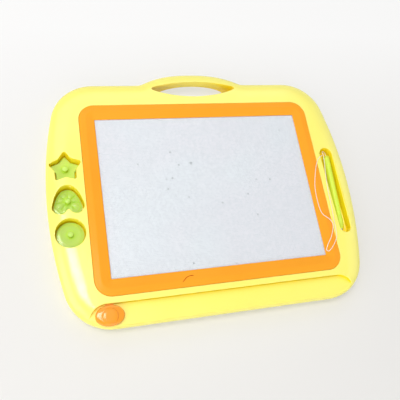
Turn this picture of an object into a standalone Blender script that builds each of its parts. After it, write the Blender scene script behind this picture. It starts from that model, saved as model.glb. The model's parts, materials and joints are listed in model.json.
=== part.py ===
"""A child's magnetic drawing board, lying on its back.

Metres. X runs to the right along the board, Y up the board to its carry handle, Z out of its face.
The origin is under the middle of the board, on the surface that its flat back rests on.
Shapes are drawn about the middle of the screen, and an empty moves them to that origin.
"""
import math

import bmesh
import bpy
from mathutils import Matrix, Vector

for old_object in list(bpy.data.objects):
    bpy.data.objects.remove(old_object, do_unlink=True)

# Screen opening and its orange bezel
screen_width = 0.285
screen_height = 0.2106
screen_corner_radius = 0.0008
bezel_side_width = 0.0199
bezel_end_width = 0.0203
bezel_corner_radius = 0.0205
bezel_crease_inset = 0.0083
bezel_edge_bevel = 0.0006

# Case outline
margin_side = 0.0471
margin_end = 0.0362
side_radius = 0.53
case_corner_radius = 0.058
handle_rise = 0.0164
handle_half_length = 0.0744
handle_reach_share = 1.13
handle_crest_power = 2.5
handle_foot_blend_share = 0.08
grip_half_length = 0.0606
grip_top_rise = 0.0079
grip_bottom_rise = 0.0109
grip_end_height = 0.0046
grip_middle_above_screen = 0.0462

# Case section, from the back up
board_depth = 0.028
parting_height = 0.0155
side_crown = 0.028
bottom_crown = 0.014
crown_drop = 0.012
back_round = 0.008
wall = 0.0022
handle_back_height = 0.0136
handle_back_from_grip_end = 0.0101
handle_back_power = 2.4
joint_gap = 0.0003
overrun = 0.002
tub_wall = 0.0016
tub_floor = 0.0018

# Stepped track along the bottom edge
track_step = 0.005
track_top_below_bezel = 0.0080
track_end_radius = 0.0215
track_end_setback = 0.0581
slit_height = 0.0023
slit_sill = 0.0002
slit_end_gap = 0.0015

# Screen stack, from the front down
screen_below_face = 0.002
film_thickness = 0.0004
cell_grid_thickness = 0.0017
stack_gap = 0.0004
ledge_thickness = 0.0018
ledge_side = 0.0072
ledge_end = 0.0140
ledge_corner_radius = 0.006
skirt_thickness = 0.0023
bezel_edge_height = 0.0006
bezel_crease_height = 0.0012
bezel_inner_drop = 0.0010
bezel_inner_bevel = 0.0009

# Bezel snap hooks
hook_width = 0.010
hook_thickness = 0.0016
hook_reach = 0.0020
hook_barb = 0.0009
hook_nose = 0.0012
hook_side_spacing_share = 0.48
hook_end_spacing_share = 0.55

# Stamps in their recesses
stamp_column_from_edge = 0.0251
stamp_pitch = 0.0428
stamp_middle_above_screen = -0.0018
stamp_depth = 0.0165
stamp_gap = 0.0017
stamp_thickness = 0.0042
stamp_rim = 0.0013
stamp_edge_round = 0.0008
stamp_magnet_thickness = 0.0012
stamp_magnet_gap = 0.0004
stamp_knob_height = 0.0058
stamp_knob_radius = 0.0036
stamp_knob_neck_radius = 0.0027
round_recess_radius = 0.0182
star_recess_radius = 0.0201
star_tips = 5
star_tip_round = 0.0024
star_tip_spread = math.radians(62)
star_waist_share = 0.68
heart_recess_width = 0.0386
heart_recess_height = 0.0364

# Pen and its trough
trough_top = 0.0498
trough_bottom = -0.0771
trough_top_radius = 0.0097
trough_bottom_radius = 0.0087
trough_column_from_edge = 0.0283
trough_lean = 0.0016
trough_depth = 0.014
pen_radius = 0.0046
pen_cap_from_trough_top = 0.00955
pen_nib_from_trough_bottom = 0.00435
pen_column_from_edge = 0.0272
pen_lean_angle = math.radians(2.3)
pen_nib_radius = 0.0014
pen_nib_length = 0.010
pen_nib_reach = 0.0026
pen_cap_flange = 0.0024
pen_cap_plug_radius = 0.0031
pen_cap_plug_length = 0.007
pen_taper_length = 0.009
pen_grip_length = 0.024
pen_grip_groove = 0.0004
pen_grip_rings = 5

# Pen string
string_radius = 0.00055
string_hole_radius = 0.0010
string_step = 0.0073
string_turn = math.radians(26)
anchor_from_trough_x = -0.0068
anchor_from_trough_y = -0.0016
knot_radius = 0.0021

# Eraser slider
eraser_park_from_edge = 0.0613
knob_half_length = 0.0171
knob_half_width = 0.01235
knob_height = 0.0084
knob_middle_above_edge = 0.0148
knob_wall = 0.0018
knob_button_radius = 0.0090
knob_button_rise = 0.0016
knob_button_offset = -0.0010
tongue_width = 0.010
tongue_thickness = 0.0017
peg_radius = 0.0024
web_thickness = 0.0020
web_width = 0.012
arm_thickness = 0.0022
bar_width = 0.009
bar_past_magnet = 0.0031
bar_bottom = 0.0150
bar_height = 0.0062
bar_channel_depth = 0.0011
eraser_magnet_width = 0.006
eraser_magnet_from_screen_edge = 0.0001
eraser_magnet_thickness = 0.0020

# Rails in the back shell that the slider rides on
rail_width = 0.003
rail_from_screen_edge = 0.0038
rail_half_length = 0.157
rail_notch_depth = 0.002

# Case screws, their bosses and their posts
screw_head_radius = 0.0029
screw_head_height = 0.0022
screw_shank_radius = 0.00145
screw_length = 0.0130
screw_drive_radius = 0.0011
screw_drive_depth = 0.0012
counterbore_radius = 0.0036
counterbore_depth = 0.007
boss_radius = 0.0052
post_radius = 0.0036
screw_hole_gap = 0.0004
top_screw_x = 0.100
top_screw_from_edge = 0.017
bottom_screw_x = 0.075
bottom_screw_from_edge = 0.0145
corner_screw_from_side = 0.0245
upper_left_screw_y = 0.088
upper_right_screw_y = 0.076
lower_screw_y = -0.096

# Facets on round forms
corner_steps = 8
side_steps = 6
arch_steps = 12
crown_steps = 6
crown_inner_steps = 4
back_steps = 4
back_inner_steps = 3
small_steps = 6
heart_steps = 2
circle_steps = 30
knob_steps = 26
post_steps = 12
screw_steps = 8
hole_steps = 10
pen_steps = 14

# Heights of the layers that lie over each other, from the back up
face = board_depth
front_bottom = parting_height + joint_gap
screen_top = face - screen_below_face
front_film_bottom = screen_top - film_thickness
cell_grid_top = front_film_bottom - joint_gap
cell_grid_bottom = cell_grid_top - cell_grid_thickness
back_film_top = cell_grid_bottom - joint_gap
back_film_bottom = back_film_top - film_thickness
ledge_top = back_film_bottom - joint_gap
ledge_bottom = ledge_top - ledge_thickness
track_floor = face - track_step
recess_floor = face - stamp_depth
trough_floor = face - trough_depth
deep_bottom = recess_floor - tub_floor - overrun

# Places on the face, from the middle of the screen
half_screen_x = screen_width / 2
half_screen_y = screen_height / 2
half_bezel_x = half_screen_x + bezel_side_width
half_bezel_y = half_screen_y + bezel_end_width
half_width = half_bezel_x + margin_side
half_height = half_bezel_y + margin_end
grip_middle_y = half_screen_y + grip_middle_above_screen
handle_back_half_span = grip_half_length - handle_back_from_grip_end
arch_reach = handle_reach_share * handle_half_length
track_top = -half_bezel_y - track_top_below_bezel
stamp_x = -half_width + stamp_column_from_edge
trough_x = half_width - trough_column_from_edge
pen_high = trough_top - pen_cap_from_trough_top
pen_low = trough_bottom + pen_nib_from_trough_bottom
pen_length = pen_high - pen_low
pen_middle_y = (pen_high + pen_low) / 2
pen_x = half_width - pen_column_from_edge
pen_z = trough_floor + joint_gap + pen_radius
knob_x = -half_width + eraser_park_from_edge
knob_y = -half_height + knob_middle_above_edge
eraser_travel = -2 * knob_x
anchor_x = trough_x - trough_lean / 2 + anchor_from_trough_x
anchor_y = trough_top - trough_top_radius + anchor_from_trough_y
half_magnet = half_screen_y - eraser_magnet_from_screen_edge
half_bar = half_magnet + bar_past_magnet
rail_offset = half_screen_y - rail_from_screen_edge


def make_material(name, color, roughness, metallic=0.0, alpha=1.0):
    """A plain Principled material."""
    material = bpy.data.materials.new(name)
    material.use_nodes = True
    shader = material.node_tree.nodes["Principled BSDF"]
    shader.inputs["Base Color"].default_value = (*color, 1.0)
    shader.inputs["Roughness"].default_value = roughness
    shader.inputs["Metallic"].default_value = metallic
    shader.inputs["Alpha"].default_value = alpha
    return material


yellow_plastic = make_material("yellow_plastic", (0.98, 0.93, 0.14), 0.32)
orange_plastic = make_material("orange_plastic", (0.98, 0.38, 0.03), 0.30)
green_plastic = make_material("green_plastic", (0.50, 0.82, 0.10), 0.25, 0.0, 0.85)
pen_plastic = make_material("pen_plastic", (0.55, 0.86, 0.14), 0.28)
screen_film = make_material("screen_film", (0.78, 0.80, 0.82), 0.18, 0.0, 0.35)
screen_cells = make_material("screen_cells", (0.74, 0.77, 0.80), 0.60)
back_film = make_material("back_film", (0.80, 0.82, 0.84), 0.35)
magnet_rubber = make_material("magnet_rubber", (0.05, 0.05, 0.05), 0.70)
magnet_metal = make_material("magnet_metal", (0.60, 0.60, 0.62), 0.30, 1.0)
screw_steel = make_material("screw_steel", (0.62, 0.62, 0.64), 0.35, 1.0)
string_fibre = make_material("string_fibre", (0.93, 0.90, 0.84), 0.85)


def make_group(name, location):
    """An empty that carries the pieces which move together."""
    group = bpy.data.objects.new(name, None)
    group.location = location
    bpy.context.scene.collection.objects.link(group)
    return group


board = make_group("board", (0, -handle_rise / 2, 0))


def put(name, mesh, material=None, parent=None, smooth=True):
    """Add a mesh as an object, in board coordinates, under a group."""
    item = bpy.data.objects.new(name, mesh)
    bpy.context.scene.collection.objects.link(item)
    item.parent = parent or board
    if parent:
        item.location = -parent.location
    if material:
        mesh.materials.append(material)
        if smooth:
            mesh.shade_smooth()
            mesh.set_sharp_from_angle(angle=math.radians(32))
    else:
        item.hide_render = True
        item.display_type = "WIRE"
    return item


def subgroup(name, location):
    """A moving group, whose empty stands at the point where its joint is stated."""
    group = make_group(name, location)
    group.parent = board
    return group


def combine(item, cutters, operation="DIFFERENCE"):
    """Add one exact Boolean for each cutter, in order."""
    for cutter in cutters:
        step = item.modifiers.new(cutter.name, "BOOLEAN")
        step.operation = operation
        step.solver = "EXACT"
        step.object = cutter
    return item


def mesh_from(name, vertices, faces):
    """A mesh whose faces are turned to point outwards."""
    mesh = bpy.data.meshes.new(name)
    mesh.from_pydata([tuple(point) for point in vertices], [], faces)
    work = bmesh.new()
    work.from_mesh(mesh)
    bmesh.ops.recalc_face_normals(work, faces=work.faces)
    work.to_mesh(mesh)
    work.free()
    return mesh


def loft(name, rings, closed=False):
    """Skin rings of equally many points, capped at both ends or closed on itself."""
    count = len(rings[0])
    vertices = [point for ring in rings for point in ring]
    faces = []
    spans = len(rings) if closed else len(rings) - 1
    for span in range(spans):
        low = span * count
        high = (span + 1) % len(rings) * count
        for index in range(count):
            following = (index + 1) % count
            faces.append((low + index, low + following, high + following, high + index))
    if not closed:
        faces.append(tuple(range(count))[::-1])
        faces.append(tuple(range((len(rings) - 1) * count, len(rings) * count)))
    return mesh_from(name, vertices, faces)


def at_height(points, height):
    """Lift plan points to a height."""
    return [(x, y, height) for x, y in points]


def prism(name, points, low, high):
    """A plan outline drawn up between two heights."""
    return loft(name, [at_height(points, low), at_height(points, high)])


def joined(name, meshes):
    """One mesh made of several that don't meet."""
    work = bmesh.new()
    for mesh in meshes:
        work.from_mesh(mesh)
    result = bpy.data.meshes.new(name)
    work.to_mesh(result)
    work.free()
    return result


def box(name, low, high):
    """A box between two corners."""
    corners = [(low[0], low[1]), (high[0], low[1]), (high[0], high[1]), (low[0], high[1])]
    return prism(name, corners, low[2], high[2])


def arc(centre_x, centre_y, radius, start, end, steps):
    """Points along an arc, both ends included."""
    points = []
    for step in range(steps + 1):
        angle = start + (end - start) * step / steps
        points.append((centre_x + radius * math.cos(angle), centre_y + radius * math.sin(angle)))
    return points


def circle(centre_x, centre_y, radius, steps=circle_steps):
    """Points round a full circle."""
    return arc(centre_x, centre_y, radius, 0, 2 * math.pi * (steps - 1) / steps, steps - 1)


def rounded_rectangle(half_x, half_y, radius, steps=small_steps):
    """A rectangle about the middle of the screen, with arcs at its corners."""
    points = []
    for corner, (sign_x, sign_y) in enumerate([(1, -1), (1, 1), (-1, 1), (-1, -1)]):
        start = (corner - 1) * math.pi / 2
        centre_x = sign_x * (half_x - radius)
        centre_y = sign_y * (half_y - radius)
        points += arc(centre_x, centre_y, radius, start, start + math.pi / 2, steps)
    return points


def inset(points, distances):
    """Move an anticlockwise outline inwards, by one distance or by one for each point."""
    count = len(points)
    if not isinstance(distances, list):
        distances = [distances] * count
    moved = []
    for index, (x, y) in enumerate(points):
        before = Vector(points[index - 1])
        after = Vector(points[(index + 1) % count])
        here = Vector((x, y))
        edge_in = (here - before).normalized()
        edge_out = (after - here).normalized()
        normal_in = Vector((edge_in.y, -edge_in.x))
        normal_out = Vector((edge_out.y, -edge_out.x))
        mitre = (normal_in + normal_out) / (1 + normal_in.dot(normal_out))
        moved.append((x - distances[index] * mitre.x, y - distances[index] * mitre.y))
    return moved


def arch_height(x, rise):
    """How far the handle's arch stands above the straight top edge."""
    slope = 1 - (abs(x) / handle_half_length) ** handle_crest_power
    crest = 1 + math.sqrt(1 + handle_foot_blend_share ** 2)
    return rise * (slope + math.sqrt(slope ** 2 + handle_foot_blend_share ** 2)) / crest


def case_outline(rise):
    """The case's outline, anticlockwise, with its handle arch of this rise."""
    side_centre = half_width - side_radius
    corner_rise = half_height - case_corner_radius
    corner_x = side_centre + math.sqrt((side_radius - case_corner_radius) ** 2 - corner_rise ** 2)
    lean = math.atan2(corner_rise, corner_x - side_centre)
    quarter = math.pi / 2
    right = arc(corner_x, -corner_rise, case_corner_radius, -quarter, -lean, corner_steps)
    right += arc(side_centre, 0, side_radius, -lean, lean, side_steps)[1:-1]
    right += arc(corner_x, corner_rise, case_corner_radius, lean, quarter, corner_steps)
    for step in range(arch_steps):
        x = arch_reach * (1 - step / arch_steps)
        right.append((x, half_height + arch_height(x, rise)))
    middle = [(0, half_height + arch_height(0, rise))]
    left = [(-x, y) for x, y in reversed(right)]
    return right + middle + left


def crown_reaches(points):
    """How far in from the edge the crown runs at each point, less along the bottom."""
    reaches = []
    count = len(points)
    for index in range(count):
        before = Vector(points[index - 1])
        after = Vector(points[(index + 1) % count])
        along = (after - before).normalized()
        downward = max(0.0, along.x) ** 2
        reaches.append(side_crown + (bottom_crown - side_crown) * downward)
    return reaches


def crowned_block(name, outline, skin, low, steps):
    """The front's pillow form, thinned by a skin, from a low plane up to the face."""
    reaches = crown_reaches(outline)
    rings = [at_height(inset(outline, skin), low)]
    for step in range(steps + 1):
        turn = math.pi / 2 * step / steps
        distances = [skin + (reach - skin) * (1 - math.cos(turn)) for reach in reaches]
        height = face - skin - (crown_drop - skin) * (1 - math.sin(turn))
        rings.append(at_height(inset(outline, distances), height))
    return loft(name, rings)


def tray_block(name, outline, skin, high, steps):
    """The back's form, rounded at its back edge and thinned by a skin."""
    rings = []
    for step in range(steps + 1):
        turn = math.pi / 2 * (1 - step / steps)
        distance = skin + (back_round - skin) * (1 - math.cos(turn))
        height = skin + (back_round - skin) * (1 - math.sin(turn))
        rings.append(at_height(inset(outline, distance), height))
    rings.append(at_height(outline if not skin else inset(outline, skin), high))
    return loft(name, rings)


def frame_block(name, outer, inner, low, high):
    """A prism with a hole through it; both outlines have equally many points."""
    rings = [at_height(outer, low), at_height(outer, high), at_height(inner, high), at_height(inner, low)]
    return loft(name, rings, closed=True)


def grip_outline(grow=0.0):
    """The lens-shaped finger gap of the handle, grown outwards by a distance."""
    points = []
    half_end = grip_end_height / 2
    for side in (-1, 1):
        rise = grip_bottom_rise if side < 0 else grip_top_rise
        radius = (grip_half_length ** 2 + rise ** 2) / (2 * rise)
        reach = math.asin(grip_half_length / radius)
        centre_y = grip_middle_y + side * (rise - radius + half_end)
        middle = side * math.pi / 2
        points += arc(0, centre_y, radius, middle - reach, middle + reach, arch_steps)
    return inset(points, -grow)


def notch_outline(grow):
    """The back shell's wall round the finger gap, grown outwards and open to the top edge."""
    lens = grip_outline(grow)
    lower = lens[:arch_steps + 1]
    beyond = half_height + handle_rise + overrun
    return lower + [(lower[-1][0], beyond), (lower[0][0], beyond)]


def finger_arch():
    """The arched room for the fingers behind the handle, from the gap out through the top edge."""
    top = handle_back_height + joint_gap
    power = 2 / handle_back_power
    steps = 2 * small_steps
    section = [(-handle_back_half_span, -overrun)]
    for step in range(steps + 1):
        turn = math.pi * (1 - step / steps)
        across = math.copysign(abs(math.cos(turn)) ** power, math.cos(turn))
        section.append((handle_back_half_span * across, top * abs(math.sin(turn)) ** power))
    section.append((handle_back_half_span, -overrun))
    beyond = half_height + handle_rise + overrun
    return loft("finger_arch", [[(x, y, z) for x, z in section] for y in (grip_middle_y, beyond)])


def star_outline(radius, steps=small_steps):
    """A plump star with rounded tips, its top tip up the board."""
    points = []
    for tip in range(star_tips):
        angle = math.pi / 2 + tip * 2 * math.pi / star_tips
        tip_centre = radius - star_tip_round
        centre_x = tip_centre * math.cos(angle)
        centre_y = tip_centre * math.sin(angle)
        start = angle - star_tip_spread
        points += arc(centre_x, centre_y, star_tip_round, start, angle + star_tip_spread, steps)
        waist = angle + math.pi / star_tips
        waist_radius = radius * star_waist_share
        points.append((waist_radius * math.cos(waist), waist_radius * math.sin(waist)))
    return points


def smooth_loop(points, steps):
    """A closed smooth curve through the points."""
    result = []
    count = len(points)
    for index in range(count):
        a, b, c, d = (Vector(points[(index + shift) % count]) for shift in (-1, 0, 1, 2))
        for step in range(steps):
            t = step / steps
            place = 0.5 * (2 * b + (c - a) * t + (2 * a - 5 * b + 4 * c - d) * t ** 2
                           + (3 * b - a - 3 * c + d) * t ** 3)
            result.append((place.x, place.y))
    return result


# The right half of the heart, from its point round to its notch, as shares of width and height
heart_half_shares = [
    (0.0, 0.50),
    (0.20, 0.435),
    (0.34, 0.255),
    (0.43, 0.055),
    (0.50, -0.225),
    (0.455, -0.385),
    (0.32, -0.500),
    (0.145, -0.480),
    (0.0, -0.355),
]


def heart_outline(width, height):
    """A plump heart with its point up the board and its two lobes down."""
    right = [(x * width, y * height) for x, y in heart_half_shares]
    left = [(-x, y) for x, y in reversed(right[1:-1])]
    return smooth_loop((right + left)[::-1], heart_steps)


def shifted(points, x, y):
    """Move a plan outline."""
    return [(px + x, py + y) for px, py in points]


def shrunk(points, distance):
    """Scale an outline about its middle, so that its sides move inwards by a distance."""
    area = 0
    length = 0
    for index, (x, y) in enumerate(points):
        last_x, last_y = points[index - 1]
        area += (last_x * y - x * last_y) / 2
        length += math.hypot(x - last_x, y - last_y)
    factor = 1 - distance * length / (2 * area)
    return [(x * factor, y * factor) for x, y in points]


stamps = {
    "star": (star_outline(star_recess_radius), stamp_middle_above_screen + stamp_pitch),
    "heart": (heart_outline(heart_recess_width, heart_recess_height), stamp_middle_above_screen),
    "round": (circle(0, 0, round_recess_radius), stamp_middle_above_screen - stamp_pitch),
}


def trough_outline():
    """The pen's trough: a long slot, a little narrower and further right at its foot."""
    top_y = trough_top - trough_top_radius
    bottom_y = trough_bottom + trough_bottom_radius
    top_x = trough_x - trough_lean / 2
    bottom_x = trough_x + trough_lean / 2
    points = arc(top_x, top_y, trough_top_radius, 0, math.pi, 2 * small_steps)
    return points + arc(bottom_x, bottom_y, trough_bottom_radius, math.pi, 2 * math.pi, 2 * small_steps)


def track_outline(grow=0.0):
    """The lowered strip along the bottom edge, with round ends, open to the edge."""
    radius = track_end_radius + grow
    centre_x = half_width - track_end_setback
    centre_y = track_top - track_end_radius
    beyond = -half_height - overrun
    points = arc(centre_x, centre_y, radius, 0, math.pi / 2, 2 * small_steps)
    points += arc(-centre_x, centre_y, radius, math.pi / 2, math.pi, 2 * small_steps)
    return points + [(-centre_x - radius, beyond), (centre_x + radius, beyond)]


def screw_places():
    """Where the eight case screws stand."""
    side = half_width - corner_screw_from_side
    top = half_height - top_screw_from_edge
    bottom = -half_height + bottom_screw_from_edge
    return [
        (-top_screw_x, top),
        (top_screw_x, top),
        (-side, upper_left_screw_y),
        (side, upper_right_screw_y),
        (-side, lower_screw_y),
        (side, lower_screw_y),
        (-bottom_screw_x, bottom),
        (bottom_screw_x, bottom),
    ]


def screw_columns(name, radius, low, high):
    """One cylinder at each screw's place."""
    places = screw_places()
    return joined(name, [prism(name, circle(x, y, radius, post_steps), low, high) for x, y in places])


def hook_places():
    """Each snap hook's middle on the skirt's inner face, and the way out of the bezel there."""
    side_y = half_bezel_y * hook_side_spacing_share
    end_x = half_bezel_x * hook_end_spacing_share
    inner_x = half_bezel_x - skirt_thickness
    inner_y = half_bezel_y - skirt_thickness
    places = [(sign * inner_x, other * side_y, sign, 0) for sign in (-1, 1) for other in (-1, 1)]
    return places + [(other * end_x, sign * inner_y, 0, sign) for sign in (-1, 1) for other in (-1, 1)]


def hook_mesh(name, place, profile, half_width_here):
    """A snap hook or its slot: a section drawn out along the bezel's edge."""
    x, y, out_x, out_y = place
    rings = []
    for side in (-half_width_here, half_width_here):
        start_x = x - out_y * side
        start_y = y + out_x * side
        rings.append([(start_x + out_x * out, start_y + out_y * out, z) for out, z in profile])
    return loft(name, rings)


def make_front_shell():
    """The yellow front: a crowned shell with pocket, recesses, trough, track, posts and handle."""
    outline = case_outline(handle_rise)
    cavity = put("front_cavity", crowned_block("front_cavity", outline, wall, deep_bottom - overrun,
                                               crown_inner_steps))
    above = face + overrun
    pocket_x = half_bezel_x + joint_gap
    pocket_y = half_bezel_y + joint_gap
    pocket_radius = bezel_corner_radius + joint_gap
    pocket_block = rounded_rectangle(pocket_x + tub_wall, pocket_y + tub_wall, pocket_radius + tub_wall)
    lumps = [
        put("pocket_block", prism("pocket_block", pocket_block, ledge_bottom, above)),
        put("grip_block", prism("grip_block", grip_outline(wall), front_bottom, above)),
        put("track_block", prism("track_block", track_outline(tub_wall), track_floor - wall, above)),
        put("trough_block", prism("trough_block", inset(trough_outline(), -tub_wall),
                                  trough_floor - tub_floor, above)),
    ]
    recess_cutters = []
    for name, (shape, middle_y) in stamps.items():
        mouth = shifted(shape, stamp_x, middle_y)
        tub = shifted(shrunk(shape, -tub_wall), stamp_x, middle_y)
        block = prism(name + "_block", tub, recess_floor - tub_floor, above)
        lumps.append(put(name + "_block", block))
        recess_cutters.append(put(name + "_recess", prism(name + "_recess", mouth, recess_floor, above)))
    lumps.append(put("post_block", screw_columns("post_block", post_radius, front_bottom, above)))
    combine(cavity, lumps)
    rim = frame_block("front_rim", inset(outline, -overrun), inset(outline, wall + joint_gap / 2),
                      deep_bottom - 2 * overrun, front_bottom)
    pocket = rounded_rectangle(pocket_x, pocket_y, pocket_radius)
    ledge_gap = rounded_rectangle(half_bezel_x - ledge_side, half_bezel_y - ledge_end, ledge_corner_radius)
    slit_half = eraser_travel / 2 + tongue_width / 2 + slit_end_gap
    slit_low = track_floor + slit_sill
    slit = box("slit", (-slit_half, track_top - overrun, slit_low),
               (slit_half, track_top + tub_wall + overrun, slit_low + slit_height))
    half_slot = hook_width / 2 + joint_gap
    slots = joined("hook_slots", [hook_mesh("hook_slots", place, hook_slot_profile(), half_slot)
                                  for place in hook_places()])
    pilot_top = track_floor - wall - joint_gap
    anchor = circle(anchor_x, anchor_y, string_hole_radius, hole_steps)
    cutters = [
        cavity,
        put("front_rim_cut", rim),
        put("pocket_cut", prism("pocket_cut", pocket, ledge_top, above)),
        put("ledge_cut", prism("ledge_cut", ledge_gap, ledge_bottom - overrun, ledge_top + overrun)),
        put("grip_cut", prism("grip_cut", grip_outline(), deep_bottom - overrun, above)),
        put("track_cut", prism("track_cut", track_outline(), track_floor, above)),
        put("trough_cut", prism("trough_cut", trough_outline(), trough_floor, above)),
        *recess_cutters,
        put("slit_cut", slit),
        put("hook_slots_cut", slots),
        put("pilot_cut", screw_columns("pilot_cut", screw_shank_radius + screw_hole_gap,
                                       front_bottom - overrun, pilot_top)),
        put("anchor_cut", prism("anchor_cut", anchor, trough_floor - tub_floor - overrun,
                                trough_floor + overrun)),
    ]
    block = crowned_block("front_shell", outline, 0, deep_bottom, crown_steps)
    combine(put("front_shell", block, yellow_plastic), cutters)


def make_back_shell():
    """The yellow back: a tray with screw bosses, slider rails and the handle's arched back."""
    outline = case_outline(0.0)
    cavity = put("back_cavity", tray_block("back_cavity", outline, wall, parting_height + overrun,
                                           back_inner_steps))
    beyond = parting_height + 2 * overrun
    bosses = put("boss_block", screw_columns("boss_block", boss_radius, 0, beyond))
    notch_wall = put("notch_block", prism("notch_block", notch_outline(wall), 0, beyond))
    combine(cavity, [bosses, notch_wall])
    arch = [(x, y) for x, y in case_outline(handle_rise) if y > half_height and abs(x) < arch_reach]
    low_y = half_height - back_round
    plate_points = [(-arch[0][0], low_y), (arch[0][0], low_y)] + arch
    plate = put("handle_plate", prism("handle_plate", plate_points, handle_back_height, parting_height))
    grip = prism("back_grip_cut", grip_outline(), -overrun, beyond)
    counterbores = screw_columns("counterbore_cut", counterbore_radius, -overrun, counterbore_depth)
    holes = screw_columns("screw_hole_cut", screw_shank_radius + screw_hole_gap, 0, beyond)
    cutters = [
        cavity,
        put("finger_arch", finger_arch()),
        put("back_grip_cut", grip),
        put("counterbore_cut", counterbores),
        put("screw_hole_cut", holes),
    ]
    block = tray_block("back_shell", outline, 0, parting_height, back_steps)
    shell = put("back_shell", block, yellow_plastic)
    combine(shell, [plate], "UNION")
    combine(shell, cutters)
    upper_top = bar_bottom - joint_gap
    lower_top = upper_top + rail_notch_depth
    root = wall / 2
    rails = [
        put("upper_rail", box("upper_rail", (-rail_half_length, rail_offset - rail_width / 2, root),
                              (rail_half_length, rail_offset + rail_width / 2, upper_top))),
        put("lower_rail", box("lower_rail", (-rail_half_length, -rail_offset - rail_width / 2, root),
                              (rail_half_length, -rail_offset + rail_width / 2, lower_top))),
    ]
    combine(shell, rails, "UNION")


def hook_profile():
    """A snap hook's section: distance out from the skirt's inner face, and height."""
    barb_top = ledge_bottom - joint_gap
    nose = ledge_bottom - hook_reach
    skirt_low = ledge_top + joint_gap
    return [
        (0, skirt_low + hook_nose),
        (0, barb_top),
        (-hook_barb, barb_top),
        (0, nose),
        (hook_thickness, nose),
        (hook_thickness, skirt_low + hook_nose),
    ]


def hook_slot_profile():
    """The section of the slot in the ledge that a snap hook passes through."""
    low = ledge_bottom - overrun
    high = ledge_top + overrun
    return [(-joint_gap, low), (hook_thickness + joint_gap, low),
            (hook_thickness + joint_gap, high), (-joint_gap, high)]


def make_bezel():
    """The orange frame: bevelled rim, crease, slope to the screen, skirt and snap hooks."""
    edge = face + bezel_edge_height
    crease = face + bezel_crease_height
    inner = face - bezel_inner_drop
    lip_bottom = screen_top + joint_gap
    skirt_low = ledge_top + joint_gap
    skirt_radius = bezel_corner_radius - skirt_thickness

    def ring(shrink_x, shrink_y, radius, height):
        return at_height(rounded_rectangle(half_bezel_x - shrink_x, half_bezel_y - shrink_y, radius), height)

    rings = [
        ring(0, 0, bezel_corner_radius, skirt_low),
        ring(0, 0, bezel_corner_radius, edge - bezel_edge_bevel),
        ring(bezel_edge_bevel, bezel_edge_bevel, bezel_corner_radius - bezel_edge_bevel, edge),
        ring(bezel_crease_inset, bezel_crease_inset, bezel_corner_radius - bezel_crease_inset, crease),
        ring(bezel_side_width - bezel_inner_bevel, bezel_end_width - bezel_inner_bevel,
             screen_corner_radius + bezel_inner_bevel, inner),
        ring(bezel_side_width, bezel_end_width, screen_corner_radius, inner - bezel_inner_bevel / 3),
        ring(bezel_side_width, bezel_end_width, screen_corner_radius, lip_bottom),
        ring(skirt_thickness, skirt_thickness, skirt_radius, lip_bottom),
        ring(skirt_thickness, skirt_thickness, skirt_radius, skirt_low),
    ]
    bezel = put("bezel", loft("bezel", rings, closed=True), orange_plastic)
    hooks = joined("hooks", [hook_mesh("hooks", place, hook_profile(), hook_width / 2)
                             for place in hook_places()])
    combine(bezel, [put("hook_blocks", hooks)], "UNION")


def make_screen():
    """The screen's stack: clear film, honeycomb grid with its fluid, and back film."""
    margin = skirt_thickness + stack_gap
    outline = rounded_rectangle(half_bezel_x - margin, half_bezel_y - margin, bezel_corner_radius - margin)
    put("screen_front_film", prism("screen_front_film", outline, front_film_bottom, screen_top), screen_film)
    put("screen_cell_grid", prism("screen_cell_grid", outline, cell_grid_bottom, cell_grid_top), screen_cells)
    put("screen_back_film", prism("screen_back_film", outline, back_film_bottom, back_film_top), back_film)


# Stamp knob section, from the plate up: shares of the knob's radius and of its height
stamp_knob_shares = [(1.0, 0.62), (1.0, 0.80), (0.82, 0.94), (0.45, 1.0)]
stamp_neck_share = 0.35


def make_stamp(name, shape, middle_y):
    """A green stamp in its recess: a capped plate with a knob, and a magnet sheet beneath."""
    group = subgroup(name + "_stamp_group", (stamp_x, middle_y, recess_floor))
    bottom = recess_floor + joint_gap
    top = bottom + stamp_thickness

    def plan(distance):
        return shifted(shrunk(shape, stamp_gap + distance), stamp_x, middle_y)

    rings = [
        at_height(plan(0), bottom),
        at_height(plan(0), top - stamp_edge_round),
        at_height(plan(stamp_edge_round / 3), top - stamp_edge_round / 3),
        at_height(plan(stamp_edge_round), top),
    ]
    stamp = put(name + "_stamp", loft(name + "_stamp", rings), green_plastic, group)
    magnet_top = bottom + stamp_magnet_thickness
    pocket = prism(name + "_magnet_cut", plan(stamp_rim), bottom - overrun, magnet_top + joint_gap)
    neck = circle(stamp_x, middle_y, stamp_knob_neck_radius, pen_steps)
    knob = [at_height(neck, top - stamp_edge_round),
            at_height(neck, top + stamp_knob_height * stamp_neck_share)]
    for radius_share, height_share in stamp_knob_shares:
        plan_ring = circle(stamp_x, middle_y, stamp_knob_radius * radius_share, pen_steps)
        knob.append(at_height(plan_ring, top + stamp_knob_height * height_share))
    combine(stamp, [put(name + "_knob_block", loft(name + "_knob_block", knob), None, group)], "UNION")
    combine(stamp, [put(name + "_magnet_pocket", pocket, None, group)])
    magnet = prism(name + "_stamp_magnet", plan(stamp_rim + stamp_magnet_gap), bottom, magnet_top)
    put(name + "_stamp_magnet", magnet, magnet_rubber, group)


def turned(name, profile):
    """A form turned about the pen's axis, from radius and place along it."""
    rings = []
    for radius, along in profile:
        rings.append([(x, along, z) for x, z in circle(0, 0, radius, pen_steps)])
    mesh = loft(name, rings)
    mesh.transform(pen_frame())
    return mesh


def pen_frame():
    """The pen's place: its axis along Y, leaning a little across the trough."""
    return Matrix.Translation((pen_x, pen_middle_y, pen_z)) @ Matrix.Rotation(-pen_lean_angle, 4, "Z")


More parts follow.
